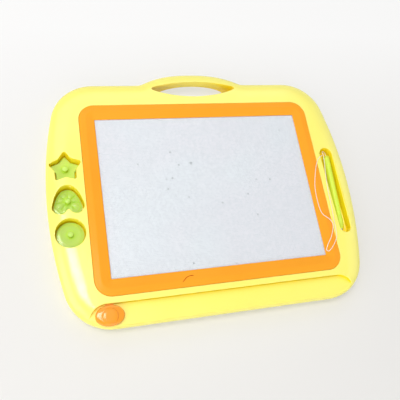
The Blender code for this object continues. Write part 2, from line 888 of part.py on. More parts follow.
# Pen sections, as shares of the radius and of the taper, the grip's pitch, the nib or the cap's flange
pen_taper_shares = [(0.72, 0.45), (0.94, 0.86), (1.0, 1.0)]
pen_groove_shares = [(0, 0.5), (1, 0.7), (1, 0.85), (0, 1.05)]
pen_nib_shares = [(0.45, 0.0), (0.85, 0.3), (1.0, 1.0)]
pen_cap_shares = [(1.0, 0.0), (1.0, 0.5), (0.86, 0.88), (0.6, 1.0)]
pen_mouth_share = 0.5


def make_pen():
    """The pen in its trough: a barrel with a grip, a magnetic nib and an end cap for the string."""
    group = subgroup("pen_group", (pen_x, pen_middle_y, pen_z))
    half = pen_length / 2
    cone_low = -half + pen_nib_reach
    shoulder = cone_low + pen_taper_length
    barrel_top = half - pen_cap_flange - joint_gap
    profile = [(pen_radius * pen_mouth_share, cone_low)]
    for radius_share, taper_share in pen_taper_shares:
        profile.append((pen_radius * radius_share, cone_low + pen_taper_length * taper_share))
    pitch = pen_grip_length / pen_grip_rings
    for index in range(pen_grip_rings):
        for depth_share, pitch_share in pen_groove_shares:
            along = shoulder + (index + pitch_share) * pitch
            profile.append((pen_radius - pen_grip_groove * depth_share, along))
    profile.append((pen_radius, barrel_top))
    barrel = put("pen_barrel", turned("pen_barrel", profile), pen_plastic, group)
    bore_end = -half + pen_nib_length + joint_gap
    nib_bore = [(pen_nib_radius + joint_gap, cone_low - overrun), (pen_nib_radius + joint_gap, bore_end)]
    plug_low = barrel_top - pen_cap_plug_length
    plug_bore = [(pen_cap_plug_radius + joint_gap, plug_low - joint_gap),
                 (pen_cap_plug_radius + joint_gap, barrel_top + overrun)]
    combine(barrel, [
        put("nib_bore", turned("nib_bore", nib_bore), None, group),
        put("plug_bore", turned("plug_bore", plug_bore), None, group),
    ])
    nib = [(pen_nib_radius * radius_share, -half + pen_nib_radius * length_share)
           for radius_share, length_share in pen_nib_shares]
    nib.append((pen_nib_radius, -half + pen_nib_length))
    put("pen_nib", turned("pen_nib", nib), magnet_metal, group)
    flange_low = half - pen_cap_flange
    cap_profile = [(pen_cap_plug_radius, plug_low), (pen_cap_plug_radius, flange_low)]
    for radius_share, flange_share in pen_cap_shares:
        cap_profile.append((pen_radius * radius_share, flange_low + pen_cap_flange * flange_share))
    put("pen_cap", turned("pen_cap", cap_profile), pen_plastic, group)


def make_eraser():
    """The eraser: an orange knob on the track, its carriage behind the screen, and the magnet strip."""
    group = subgroup("eraser_group", (knob_x, knob_y, track_floor))
    sill = track_floor + slit_sill + joint_gap
    tongue_top = sill + tongue_thickness
    web_far = track_top + tub_wall + joint_gap + overrun / 4
    web_near = web_far + web_thickness
    bar_top = bar_bottom + bar_height
    magnet_x = eraser_magnet_width / 2
    rail_near = -rail_offset - rail_width / 2 - joint_gap
    rail_far = -rail_offset + rail_width / 2 + joint_gap
    lap = web_thickness / 2
    tongue_end = knob_y - peg_radius - lap
    roof = track_floor + knob_height - 2 * knob_wall
    pieces = [
        box("carriage_arm", (knob_x - web_width / 2, web_far, bar_bottom),
            (knob_x + web_width / 2, -half_bar + lap, bar_bottom + arm_thickness)),
        box("carriage_web", (knob_x - web_width / 2, web_far, bar_bottom + lap),
            (knob_x + web_width / 2, web_near, tongue_top)),
        box("carriage_tongue", (knob_x - tongue_width / 2, tongue_end, sill),
            (knob_x + tongue_width / 2, web_far + lap, tongue_top)),
        prism("carriage_peg", circle(knob_x, knob_y, peg_radius, post_steps), sill + lap / 2,
              roof - joint_gap),
    ]
    bar = box("eraser_carriage", (knob_x - bar_width / 2, -half_bar, bar_bottom),
              (knob_x + bar_width / 2, half_bar, bar_top))
    carriage = put("eraser_carriage", bar, orange_plastic, group)
    combine(carriage, [put(piece.name + "_block", piece, None, group) for piece in pieces], "UNION")
    channel_x = magnet_x + joint_gap
    channel_y = half_magnet + joint_gap
    channel = box("channel", (knob_x - channel_x, -channel_y, bar_top - bar_channel_depth),
                  (knob_x + channel_x, channel_y, bar_top + overrun))
    notch = box("rail_notch", (knob_x - bar_width, rail_near, bar_bottom - overrun),
                (knob_x + bar_width, rail_far, bar_bottom + rail_notch_depth))
    combine(carriage, [put("channel_cut", channel, None, group), put("rail_notch_cut", notch, None, group)])
    magnet_low = bar_top - bar_channel_depth + joint_gap
    strip = box("eraser_magnet", (knob_x - magnet_x, -half_magnet, magnet_low),
                (knob_x + magnet_x, half_magnet, magnet_low + eraser_magnet_thickness))
    put("eraser_magnet", strip, magnet_rubber, group)
    make_eraser_knob(group, tongue_top, roof)


# Knob section: shares of the half length and half width, of the way to the button, and of the body's height
knob_outer_shares = [
    (0.965, 0.0, 0.0),
    (1.0, 0.0, 0.15),
    (0.995, 0.0, 0.45),
    (0.96, 0.0, 0.73),
    (0.90, 0.0, 0.88),
    (0.84, 0.5, 0.97),
    (0.84, 1.0, 1.0),
]
knob_inner_shares = [(0.59, 1.0), (0.83, 0.72), (0.866, 0.0)]
knob_button_shares = [(0.985, 0.40), (0.86, 0.74), (0.45, 1.0)]
knob_button_foot_share = 1.03


def knob_ring(length_share, button_share, height):
    """One ring of the knob: an oval that turns into the button's circle near the top."""
    foot_radius = knob_button_radius * knob_button_foot_share
    half_x = knob_half_length * length_share * (1 - button_share) + foot_radius * button_share
    half_y = knob_half_width * length_share * (1 - button_share) + foot_radius * button_share
    middle_y = knob_y + knob_button_offset * button_share
    points = circle(0, 0, 1, knob_steps)
    return at_height([(knob_x + half_x * x, middle_y + half_y * y) for x, y in points], height)


def make_eraser_knob(group, tongue_top, roof):
    """The oval knob: a hollow dome with a raised round button, pressed on the carriage's peg."""
    base = track_floor + joint_gap
    crest = track_floor + knob_height
    shoulder = crest - knob_button_rise
    rings = []
    for length_share, height_share in knob_inner_shares:
        rings.append(knob_ring(length_share, 0, base + (roof - base) * height_share))
    for length_share, button_share, height_share in knob_outer_shares:
        rings.append(knob_ring(length_share, button_share, base + (shoulder - base) * height_share))
    for radius_share, rise_share in knob_button_shares:
        plan = circle(knob_x, knob_y + knob_button_offset, knob_button_radius * radius_share, knob_steps)
        rings.append(at_height(plan, shoulder + knob_button_rise * rise_share))
    knob = put("eraser_knob", loft("eraser_knob", rings), orange_plastic, group)
    socket_low = tongue_top + joint_gap
    socket = frame_block("socket", circle(knob_x, knob_y, peg_radius + joint_gap + knob_wall, post_steps),
                         circle(knob_x, knob_y, peg_radius + joint_gap, post_steps), socket_low,
                         roof + knob_wall / 3)
    neck = tongue_width / 2 + joint_gap
    opening = box("neck", (knob_x - neck, knob_y, base - overrun),
                  (knob_x + neck, knob_y + knob_half_width + overrun, socket_low))
    combine(knob, [put("neck_cut", opening, None, group)])
    combine(knob, [put("socket_block", socket, None, group)], "UNION")


# Screw section: shares of the head's radius and height, and of the shank's radius and point
screw_head_shares = [(0.8, 0.0), (1.0, 0.35), (1.0, 1.0)]
screw_point_shares = [(1.0, 0.0), (1.0, -1.0), (0.4, 0.0)]


def make_screws():
    """Eight self-tapping screws, driven from the back."""
    seat = counterbore_depth
    head_low = seat - screw_head_height - joint_gap
    head_top = seat - joint_gap
    tip = head_top + screw_length
    shank_ends = [head_top, tip, tip]
    for index, (x, y) in enumerate(screw_places()):
        rings = []
        for radius_share, height_share in screw_head_shares:
            plan = circle(x, y, screw_head_radius * radius_share, screw_steps)
            rings.append(at_height(plan, head_low + screw_head_height * height_share))
        for (radius_share, point_share), end in zip(screw_point_shares, shank_ends):
            plan = circle(x, y, screw_shank_radius * radius_share, screw_steps)
            rings.append(at_height(plan, end + screw_shank_radius * point_share))
        name = "case_screw_" + str(index + 1)
        screw = put(name, loft(name, rings), screw_steel)
        arm = screw_drive_radius
        blade = arm / 3
        top = head_low + screw_drive_depth
        across = box(name + "_across", (x - arm, y - blade, head_low - overrun), (x + arm, y + blade, top))
        along = box(name + "_along", (x - blade, y - arm, head_low - overrun), (x + blade, y + arm, top))
        combine(screw, [put(name + "_across", across), put(name + "_along", along)])


# The string's route by hand, in metres from the middle of the screen: out from the pen's cap, over the
# trough's left lip, down and round its loop on the bezel, back up, and down to its hole in the trough
string_route = [
    (0.1847, 0.0431, 0.0191),
    (0.1826, 0.0460, 0.0204),
    (0.1791, 0.0464, 0.0229),
    (0.1765, 0.0440, 0.0258),
    (0.1751, 0.0398, 0.0282),
    (0.1741, 0.0294, 0.0290),
    (0.1718, 0.0147, 0.0290),
    (0.1684, -0.0114, 0.0289),
    (0.1674, -0.0342, 0.0289),
    (0.1657, -0.0620, 0.0289),
    (0.1649, -0.0742, 0.0290),
    (0.1635, -0.0822, 0.0294),
    (0.1591, -0.0893, 0.0299),
    (0.1546, -0.0946, 0.0302),
    (0.1514, -0.0979, 0.0297),
    (0.1466, -0.1011, 0.0287),
    (0.1443, -0.0997, 0.0282),
    (0.1450, -0.0968, 0.0284),
    (0.1482, -0.0915, 0.0290),
    (0.1548, -0.0821, 0.0302),
    (0.1600, -0.0725, 0.0298),
    (0.1620, -0.0670, 0.0296),
    (0.1614, -0.0615, 0.0296),
    (0.1584, -0.0572, 0.0299),
    (0.1545, -0.0538, 0.0302),
    (0.1514, -0.0506, 0.0296),
    (0.1491, -0.0447, 0.0291),
    (0.1480, -0.0313, 0.0289),
    (0.1484, -0.0172, 0.0290),
    (0.1502, -0.0044, 0.0294),
    (0.1542, 0.0098, 0.0302),
    (0.1593, 0.0228, 0.0298),
    (0.1643, 0.0314, 0.0292),
    (0.1680, 0.0350, 0.0289),
    (0.1706, 0.0367, 0.0289),
    (0.1727, 0.0379, 0.0281),
    (0.1735, 0.0384, 0.0261),
    (0.1736, 0.0385, 0.0225),
]


def smooth_path(points):
    """A smooth curve through the points, drawn closer where it turns."""
    places = [Vector(point) for point in points]
    places = [2 * places[0] - places[1]] + places + [2 * places[-1] - places[-2]]
    path = [places[1]]
    last = places[1]
    heading = (places[2] - places[1]).normalized()
    filled = 0
    for index in range(1, len(places) - 2):
        a, b, c, d = places[index - 1:index + 3]
        spans = [math.sqrt((after - before).length) for before, after in ((a, b), (b, c), (c, d))]
        leave = (b - a) / spans[0] - (c - a) / (spans[0] + spans[1]) + (c - b) / spans[1]
        arrive = (c - b) / spans[1] - (d - b) / (spans[1] + spans[2]) + (d - c) / spans[2]
        for step in range(1, circle_steps + 1):
            t = step / circle_steps
            from_b = (1 + 2 * t) * (1 - t) ** 2 * b + t * (1 - t) ** 2 * spans[1] * leave
            from_c = t ** 2 * (3 - 2 * t) * c + t ** 2 * (t - 1) * spans[1] * arrive
            place = from_b + from_c
            onward = (place - last).normalized()
            filled += (place - last).length / string_step + onward.angle(heading) / string_turn
            last = place
            heading = onward
            if filled >= 1:
                path.append(place)
                filled = 0
    if filled > joint_gap / string_step:
        path.append(last)
    return path


def make_string():
    """The pen's string as one plain tube along a smooth curve, and its knot under the trough."""
    cap_end = pen_frame() @ Vector((0, pen_length / 2 + joint_gap, 0))
    low_turn = math.pi / (small_steps + 2)
    knot_middle = trough_floor - tub_floor - joint_gap - math.sqrt(knot_radius ** 2 - string_hole_radius ** 2)
    knot_top = knot_middle + knot_radius * math.cos(low_turn)
    path = smooth_path([cap_end, *string_route, (anchor_x, anchor_y, knot_top + joint_gap)])
    length = sum((after - before).length for before, after in zip(path, path[1:]))
    print("The string has", len(path), "points and is", round(length, 4), "m long.")
    curve = bpy.data.curves.new("pen_string", "CURVE")
    curve.dimensions = "3D"
    curve.bevel_depth = string_radius
    curve.bevel_resolution = 2
    curve.use_fill_caps = True
    spline = curve.splines.new("POLY")
    spline.points.add(len(path) - 1)
    for spot, place in zip(spline.points, path):
        spot.co = (*place, 1)
    curve.materials.append(string_fibre)
    string = bpy.data.objects.new("pen_string", curve)
    bpy.context.scene.collection.objects.link(string)
    string.parent = board
    rings = []
    for step in range(1, small_steps + 2):
        plan = circle(anchor_x, anchor_y, knot_radius * math.sin(low_turn * step), hole_steps)
        rings.append(at_height(plan, knot_middle - knot_radius * math.cos(low_turn * step)))
    put("string_knot", loft("string_knot", rings), string_fibre)


make_front_shell()
make_back_shell()
make_bezel()
make_screen()
for stamp_name, (stamp_shape, stamp_y) in stamps.items():
    make_stamp(stamp_name, stamp_shape, stamp_y)
make_pen()
make_eraser()
make_screws()
make_string()
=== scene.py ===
"""The looks of a child's magnetic drawing board: fine surfaces, finishes and the pen's string.

Metres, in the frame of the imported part: X to the board's right, Y up the board, Z out of its face.
Plan shapes are drawn about the middle of the screen and are then moved to that frame.
"""

import json
import math

import bmesh
import bpy
from mathutils import Matrix, Vector
from mathutils.bvhtree import BVHTree


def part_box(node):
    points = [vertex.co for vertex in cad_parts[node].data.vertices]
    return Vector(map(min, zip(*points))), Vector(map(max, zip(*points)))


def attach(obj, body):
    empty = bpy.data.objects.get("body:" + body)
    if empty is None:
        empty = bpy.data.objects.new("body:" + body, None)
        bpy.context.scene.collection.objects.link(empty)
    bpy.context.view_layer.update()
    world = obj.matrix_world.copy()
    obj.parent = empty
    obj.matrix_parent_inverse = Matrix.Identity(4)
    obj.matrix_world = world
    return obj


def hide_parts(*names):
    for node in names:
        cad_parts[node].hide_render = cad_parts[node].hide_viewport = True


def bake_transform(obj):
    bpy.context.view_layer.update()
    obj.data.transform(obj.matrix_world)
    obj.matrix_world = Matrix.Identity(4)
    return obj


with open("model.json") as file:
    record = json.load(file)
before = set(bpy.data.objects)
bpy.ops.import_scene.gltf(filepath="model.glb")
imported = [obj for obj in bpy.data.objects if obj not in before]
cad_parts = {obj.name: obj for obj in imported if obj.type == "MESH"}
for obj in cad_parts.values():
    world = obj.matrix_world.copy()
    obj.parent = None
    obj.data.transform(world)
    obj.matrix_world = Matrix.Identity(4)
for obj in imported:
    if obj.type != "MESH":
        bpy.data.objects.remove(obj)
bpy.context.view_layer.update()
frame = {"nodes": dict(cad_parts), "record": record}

# The photograph's camera over the board
camera_place = (-0.2045, -0.2260, 0.6249)
camera_target = (-0.01834, -0.02335, 0.026)
camera_up = (0.07029, 0.93805, 0.33930)
camera_lens = 45.56
sensor_width = 36.0

# Sizes read from the frame
front_low, front_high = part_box("front_shell")
bezel_low, bezel_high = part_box("bezel")
film_low, film_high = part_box("screen_front_film")
knob_low, knob_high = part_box("eraser_knob")
round_low, round_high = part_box("round_stamp")
parting_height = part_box("back_shell")[1].z
magnet_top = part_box("round_stamp_magnet")[1].z
middle_y = (bezel_low.y + bezel_high.y) / 2
half_bezel_x = bezel_high.x
half_bezel_y = (bezel_high.y - bezel_low.y) / 2
half_width = front_high.x
half_height = middle_y - front_low.y
handle_rise = front_high.y - middle_y - half_height
face = front_high.z
screen_top = film_high.z
knob_x = (knob_low.x + knob_high.x) / 2
knob_y = (knob_low.y + knob_high.y) / 2 - middle_y
knob_half_length = (knob_high.x - knob_low.x) / 2
knob_half_width = (knob_high.y - knob_low.y) / 2

# Gaps and walls that the solids share
joint_gap = 0.0003
overrun = 0.002
wall = 0.0022
tub_wall = 0.0016
tub_floor = 0.0018

# Bezel
bezel_side_width = 0.0199
bezel_end_width = 0.0203
bezel_corner_radius = 0.0205
bezel_crease_inset = 0.0083
bezel_edge_height = 0.0006
bezel_crease_height = 0.0012
bezel_crease_soften = 0.0010
bezel_inner_drop = 0.0010
bezel_edge_round = 0.0008
bezel_edge_turn = math.radians(86)
bezel_inner_round = 0.0010
screen_corner_radius = 0.0008
skirt_thickness = 0.0023
skirt_low = screen_top - 0.0031

# Case outline and section
side_radius = 0.53
case_corner_radius = 0.058
handle_half_length = 0.0744
handle_reach = 1.13 * handle_half_length
handle_crest_power = 2.5
handle_foot_blend_share = 0.08
side_crown = 0.028
bottom_crown = 0.014
crown_drop = 0.012
back_round = 0.008
parting_chamfer = 0.0004

# Finger gap of the handle, and the handle's arched back
handle_back_height = 0.0136
handle_back_power = 2.4
handle_back_chamfer = 0.0006
grip_half_length = 0.0606
handle_back_half_span = grip_half_length - 0.0101
grip_top_rise = 0.0079
grip_bottom_rise = 0.0109
grip_end_height = 0.0046
grip_end_radius = 0.0027
grip_end_low_turn = math.radians(66)
grip_end_high_turn = math.radians(74)
grip_middle_y = half_bezel_y - bezel_end_width + 0.0462

# Track, slit, recesses and trough
track_step = 0.005
track_top_below_bezel = 0.0080
track_end_radius = 0.0215
track_end_setback = 0.0581
slit_sill = 0.0002
slit_height = 0.0023
slit_overlap = 0.0065
ledge_thickness = 0.0018
ledge_side = 0.0072
ledge_end = 0.0140
ledge_corner_radius = 0.006
stamp_x = (round_low.x + round_high.x) / 2
stamp_pitch = 0.0428
stamp_middle = -0.0018
recess_floor = round_low.z - joint_gap
recess_fillet = 0.0012
stamp_gap = 0.0017
round_recess_radius = 0.0182
star_recess_radius = 0.0201
star_tips = 5
star_tip_round = 0.0024
star_tip_spread = math.radians(62)
star_waist_share = 0.68
star_waist_offset = 0.00128
star_waist_radius = 0.00112
star_waist_turn = 0.5
heart_recess_width = 0.0386
heart_recess_height = 0.0364
trough_top = 0.0498
trough_bottom = -0.0771
trough_top_radius = 0.0097
trough_bottom_radius = 0.0087
trough_x = half_width - 0.0283
trough_lean = 0.0016
trough_depth = 0.014
trough_fillet = 0.0020
trough_floor = face - trough_depth
anchor_place = (0.1736, 0.0385)
string_hole_radius = 0.0010
string_hole_lip = string_hole_radius / 3

# Stamps
stamp_thickness = 0.0042
stamp_rim = 0.0013
stamp_edge_round = 0.0006
stamp_edge_turn = math.radians(80)
stamp_slope_soften = 0.0003
stamp_knob_height = 0.0058
stamp_knob_radius = 0.0037
stamp_neck_radius = 0.0033
stamp_neck_fillet = 0.0006
groove_width = 0.0009
groove_depth = 0.0008
groove_from_knob = 0.0012
border_inset = 0.0022
border_width = 0.0005
border_depth = 2 * groove_depth / 3
# How far in from its edge each stamp's rim slopes, and how far it falls
stamp_slopes = {"star": (0.0014, 0.0004), "heart": (0.0030, 0.0005), "round": (0.0042, 0.0007)}
# The heart and the round stamp look a shade deeper than the star in the photograph, so they wear a darker
# copy of its green: painted shade
stamp_finishes = {"star": "green_plastic", "heart": "green_painted_shade", "round": "green_painted_shade"}

# Pen
pen_radius = 0.0046
pen_length = 0.1130
pen_middle_y = -0.01625
pen_x = half_width - 0.0272
pen_z = trough_floor + joint_gap + pen_radius
pen_lean_angle = math.radians(2.3)
pen_frame = Matrix.Translation((pen_x, pen_middle_y, pen_z)) @ Matrix.Rotation(-pen_lean_angle, 4, "Z")
pen_nib_radius = 0.0014
pen_nib_reach = 0.0026
pen_nib_tip_share = 0.3
pen_taper_length = 0.009
pen_taper_power = 1.2
pen_grip_length = 0.024
pen_grip_groove = 0.0004
pen_grip_rings = 5
pen_cap_flange = 0.0024
pen_cap_top_share = 0.42
pen_edge_round = 0.0003

# Eraser knob
knob_wall = 0.0018
knob_button_radius = 0.0090
knob_button_rise = 0.0016
knob_button_offset = -0.0010
knob_neck = 0.0053
knob_neck_top = knob_low.z + 0.0022

# Screws, their bosses and posts, and the rails
screw_boxes = [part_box("case_screw_" + str(number)) for number in range(1, 9)]
screw_places = [((low.x + high.x) / 2, (low.y + high.y) / 2 - middle_y) for low, high in screw_boxes]
screw_low, screw_high = screw_boxes[0]
screw_head_radius = (screw_high.x - screw_low.x) / 2
screw_head_height = 0.0022
screw_shank_radius = 0.00145
screw_hole_radius = 0.00185
screw_drive_radius = 0.0011
screw_drive_depth = 0.0012
counterbore_radius = 0.0036
counterbore_depth = 0.007
counterbore_chamfer = 0.0004
boss_radius = 0.0052
post_radius = 0.0036
rail_width = 0.003
rail_offset = half_bezel_y - bezel_end_width - 0.0038
rail_half_length = 0.157
rail_top = 0.0147
rail_notch = 0.002

# String, knot and the stray grains under the film
string_radius = 0.00055
string_spacing = 0.0004
string_strands = 3
string_lay_length = 0.0042
string_groove_share = 0.22
knot_ring_share = 0.52
knot_swell_share = 0.16
knot_height_share = 0.42
speck_low = film_low.z - 0.00025
speck_thickness = 0.00012
# How uneven a grain's rim is: the height of its lobes, their count, and their turn from grain to grain
speck_lobes = ((0.28, 3, 1.0), (0.18, 5, 2.3))

# Rounded lips of the openings, and how far past a lip its cutter flares, as shares of the lip
lip_turn = math.radians(78)
lip_flare = 1.18
lip_flare_rise = 0.06
grip_flare = 1.2
grip_flare_rise = 0.3
recess_lip = 0.0008
trough_lip = 0.0010
track_lip = 0.0011
pocket_lip = 0.0005
grip_lip = 0.0010
back_grip_lip = 0.0009

# How near a facing wall must be for the painted shade in hollows to deepen a plastic's colour
painted_shade_reach = 0.030

# Creases sharper than this stay sharp when a piece is shaded smooth
crease_angle = math.radians(34)

# Facets on round forms
corner_steps = 26
side_steps = 20
arch_steps = 44
crown_steps = 18
back_steps = 10
coarse_steps = 6
lip_steps = 5
fillet_steps = 4
circle_steps = 72
rectangle_steps = 16
trough_steps = 28
track_steps = 30
column_steps = 32
grip_end_steps = 12
grip_lip_steps = 6
star_tip_steps = 12
star_waist_steps = 4
heart_steps = 6
dome_steps = 7
pen_cone_steps = 8
pen_ring_steps = 10
pen_cap_steps = 9
pen_nib_steps = 5
pen_sides = 40
string_sides = 12
path_steps = 60
knot_steps = 120
speck_sides = 11
petal_steps = 6
petal_sides = 28
scuff_steps = 5
knob_side_steps = 4
knob_button_steps = 3


def wire(tree, item, inputs):
    """Set or link a node's inputs by name or number."""
    for key, value in inputs.items():
        if isinstance(value, bpy.types.NodeSocket):
            tree.links.new(value, item.inputs[key])
        else:
            item.inputs[key].default_value = value


def add_node(tree, kind, inputs=None, **settings):
    """A shader node with its settings and inputs."""
    item = tree.nodes.new("ShaderNode" + kind)
    for key, value in settings.items():
        setattr(item, key, value)
    wire(tree, item, inputs or {})
    return item


def reckon(tree, kind, operation, *values, output=0):
    """What a Math or VectorMath node makes of its values."""
    return add_node(tree, kind, dict(enumerate(values)), operation=operation).outputs[output]


def ranged(tree, value, low, high, from_low=0.0, from_high=1.0):
    """Map a value from one range to another."""
    return add_node(tree, "MapRange", {0: value, 1: from_low, 2: from_high, 3: low, 4: high}).outputs[0]


def blended(tree, factor, first, second):
    """Mix two colours."""
    first, second = (color if isinstance(color, bpy.types.NodeSocket) else (*color, 1.0)
                     for color in (first, second))
    return add_node(tree, "Mix", {0: factor, 6: first, 7: second}, data_type="RGBA").outputs[2]


def times(color, factor):
    """A colour made darker or lighter."""
    return tuple(factor * channel for channel in color)


def noise(tree, place, scale, detail=2.0, roughness=0.5):
    """A noise value at a scale in waves per metre."""
    inputs = {"Vector": place, "Scale": scale, "Detail": detail, "Roughness": roughness}
    return add_node(tree, "TexNoise", inputs).outputs["Fac"]


def roughen(tree, shader, height, strength, distance):
    """Tilt a surface by a height map, on top of what tilts it already."""
    relief = add_node(tree, "Bump", {"Strength": strength, "Distance": distance, "Height": height})
    normal = shader.inputs["Normal"]
    for link in list(normal.links):
        tree.links.new(link.from_socket, relief.inputs["Normal"])
    tree.links.new(relief.outputs["Normal"], normal)


materials = {}


def new_material(name):
    """A new named material: its node tree, its Principled shader and the place on the object."""
    material = bpy.data.materials.new(name)
    material.use_nodes = True
    materials[name] = material
    tree = material.node_tree
    return tree, tree.nodes["Principled BSDF"], add_node(tree, "TexCoord").outputs["Object"]


def plastic(name, color, drift_color, gloss, shine=0.5, transmission=0.0, glow=0.0,
            glow_reach=(1.0, 0.55, 0.08), painted_shade_color=None):
    """Moulded plastic: a drift of colour, uneven gloss, a slow wave of the mould and a fine skin.

    Hollows, where facing walls of the same piece are near, get painted shade: the colour turns towards a
    deeper, fuller one given for them.
    """
    tree, shader, place = new_material(name)
    drift = ranged(tree, noise(tree, place, 14, 3), 0.0, 1.0, 0.32, 0.68)
    tint = blended(tree, drift, color, drift_color)
    # Painted shade: the less open a spot is, the more its colour turns to the deeper one
    if painted_shade_color:
        openness = add_node(tree, "AmbientOcclusion", {"Distance": painted_shade_reach}, only_local=True,
                            samples=8).outputs["AO"]
        tint = blended(tree, ranged(tree, openness, 0.0, 1.0, 0.60, 0.97), painted_shade_color, tint)
    wire(tree, shader, {
        "Base Color": tint,
        "Roughness": ranged(tree, noise(tree, place, 90, 4, 0.6), gloss * 0.86, gloss * 1.18, 0.3, 0.7),
        "IOR": 1.49,
        "Specular IOR Level": shine,
        "Transmission Weight": transmission,
        "Subsurface Weight": glow,
        "Subsurface Radius": glow_reach,
        "Subsurface Scale": 0.006,
    })
    roughen(tree, shader, noise(tree, place, 45, 1), 0.35, 0.00005)
    roughen(tree, shader, noise(tree, place, 2600, 2), 0.5, 0.000005)


def film(name, color, alpha, gloss):
    """Thin clear film with faint rub marks across it."""
    tree, shader, place = new_material(name)
    slant = (0, 0, math.radians(28))
    stretch = add_node(tree, "Mapping", {"Vector": place, "Scale": (1, 9, 1), "Rotation": slant})
    rubs = noise(tree, stretch.outputs[0], 160, 5, 0.7)
    wire(tree, shader, {
        "Base Color": blended(tree, noise(tree, place, 11, 3), color, times(color, 0.96)),
        "Roughness": ranged(tree, rubs, gloss * 0.7, gloss * 1.5, 0.35, 0.65),
        "Alpha": alpha,
        "IOR": 1.5,
    })
    roughen(tree, shader, noise(tree, place, 30, 2), 0.2, 0.0001)


def honeycomb(name, cool_color, warm_color, wall_color, grey_color, pitch):
    """White fluid in a grid of small hexagonal cells, each a little lighter or greyer than the next."""
    tree, shader, place = new_material(name)
    half = (0.5, math.sqrt(3) / 2, 0)
    reach = (0.5, math.sqrt(3) / 2, 0.5)
    scaled = reckon(tree, "VectorMath", "MULTIPLY", place, (1 / pitch, 1 / pitch, 0))

    def lattice(shift):
        """The way to the nearest centre of one of two offset lattices."""
        moved = reckon(tree, "VectorMath", "ADD", scaled, shift)
        return reckon(tree, "VectorMath", "WRAP", moved, reach, times(reach, -1))

    first = lattice((0, 0, 0))
    second = lattice(half)
    lengths = [reckon(tree, "VectorMath", "LENGTH", way, output="Value") for way in (first, second)]
    nearer = reckon(tree, "Math", "GREATER_THAN", *lengths)
    local = add_node(tree, "Mix", {0: nearer, 4: first, 5: second}, data_type="VECTOR").outputs[1]
    centre = reckon(tree, "VectorMath", "SUBTRACT", scaled, local)
    span = reckon(tree, "VectorMath", "ABSOLUTE", local)
    slanted = reckon(tree, "VectorMath", "DOT_PRODUCT", span, half, output="Value")
    straight = add_node(tree, "SeparateXYZ", {0: span}).outputs[0]
    ridge = ranged(tree, reckon(tree, "Math", "MAXIMUM", slanted, straight), 0.0, 1.0, 0.40, 0.48)
    dice = add_node(tree, "TexWhiteNoise", {"Vector": centre}, noise_dimensions="3D").outputs["Value"]
    warmth = ranged(tree, noise(tree, place, 13, 1), 0.0, 1.0, 0.38, 0.62)
    tone = blended(tree, warmth, cool_color, warm_color)
    cell = blended(tree, ranged(tree, dice, 0.0, 0.85), tone, grey_color)
    cloud = ranged(tree, noise(tree, place, 9, 3), 0.0, 0.3, 0.35, 0.7)
    cloudy = blended(tree, cloud, cell, grey_color)
    wire(tree, shader, {"Base Color": blended(tree, ridge, cloudy, wall_color), "Roughness": 0.5})
    roughen(tree, shader, ridge, 0.25, 0.0002)


def metal(name, color, gloss, brushed):
    """Bare or plated metal with fine marks."""
    tree, shader, place = new_material(name)
    stretch = add_node(tree, "Mapping", {"Vector": place, "Scale": (1, brushed, 1)})
    marks = noise(tree, stretch.outputs[0], 900, 4, 0.6)
    wire(tree, shader, {
        "Base Color": blended(tree, marks, color, times(color, 0.8)),
        "Roughness": ranged(tree, marks, gloss * 0.7, gloss * 1.4, 0.35, 0.65),
        "Metallic": 1.0,
    })


def dull_grains(name, color):
    """Dull magnet rubber or iron powder with a fine grain."""
    tree, shader, place = new_material(name)
    grain = noise(tree, place, 1500, 5, 0.7)
    wire(tree, shader, {"Base Color": blended(tree, grain, color, times(color, 2.2)), "Roughness": 0.75})
    roughen(tree, shader, grain, 0.5, 0.00005)


def fibre(name, color, shadow_color):
    """Soft twisted thread, a little darker between its fibres."""
    tree, shader, place = new_material(name)
    strands = noise(tree, place, 3500, 4, 0.65)
    tint = blended(tree, ranged(tree, strands, 0.0, 1.0, 0.35, 0.6), shadow_color, color)
    wire(tree, shader, {"Base Color": tint, "Roughness": 0.9, "Sheen Weight": 0.3})
    roughen(tree, shader, strands, 0.6, 0.00006)


# How far light of each colour strays in green plastic, and what the translucent green pieces share, with
# painted shade in their hollows
green_reach = (0.7, 1.0, 0.2)
translucent = {"shine": 0.35, "transmission": 0.05, "glow": 0.35, "glow_reach": green_reach,
               "painted_shade_color": (0.52, 0.85, 0.02)}

# The yellow plastic gets painted shade too: a golden colour in its hollows
plastic("yellow_plastic", (0.990, 0.915, 0.166), (0.985, 0.900, 0.149), 0.22, shine=0.85,
        painted_shade_color=(1.0, 0.77, 0.013))
plastic("orange_plastic", (0.980, 0.350, 0.010), (0.970, 0.330, 0.008), 0.10, shine=0.45)
plastic("orange_frame", (0.985, 0.392, 0.028), (0.980, 0.374, 0.025), 0.20, shine=0.08)
plastic("orange_scuff", (0.56, 0.045, 0.001), (0.62, 0.065, 0.002), 0.6, shine=0.05)
plastic("green_plastic", (0.67, 0.92, 0.19), (0.60, 0.89, 0.15), 0.14, **translucent)
# A darker copy of the stamps' green, painted shade for the heart and the round stamp
plastic("green_painted_shade", (0.57, 0.80, 0.17), (0.51, 0.77, 0.13), 0.14, **translucent)
plastic("pen_plastic", (0.72, 0.92, 0.08), (0.68, 0.89, 0.065), 0.34, glow=0.3, glow_reach=green_reach)
film("screen_film", (0.90, 0.92, 0.95), 0.10, 0.16)
honeycomb("screen_cells", (0.745, 0.800, 0.840), (0.785, 0.780, 0.835), (0.84, 0.87, 0.90),
          (0.62, 0.66, 0.71), 0.0026)
film("back_film", (0.75, 0.77, 0.80), 1.0, 0.35)
dull_grains("magnet_rubber", (0.035, 0.035, 0.037))
metal("magnet_metal", (0.34, 0.35, 0.34), 0.55, 1)
metal("screw_steel", (0.60, 0.60, 0.62), 0.32, 6)
fibre("string_fibre", (0.97, 0.88, 0.76), (0.86, 0.74, 0.60))
dull_grains("iron_powder", (0.24, 0.27, 0.28))


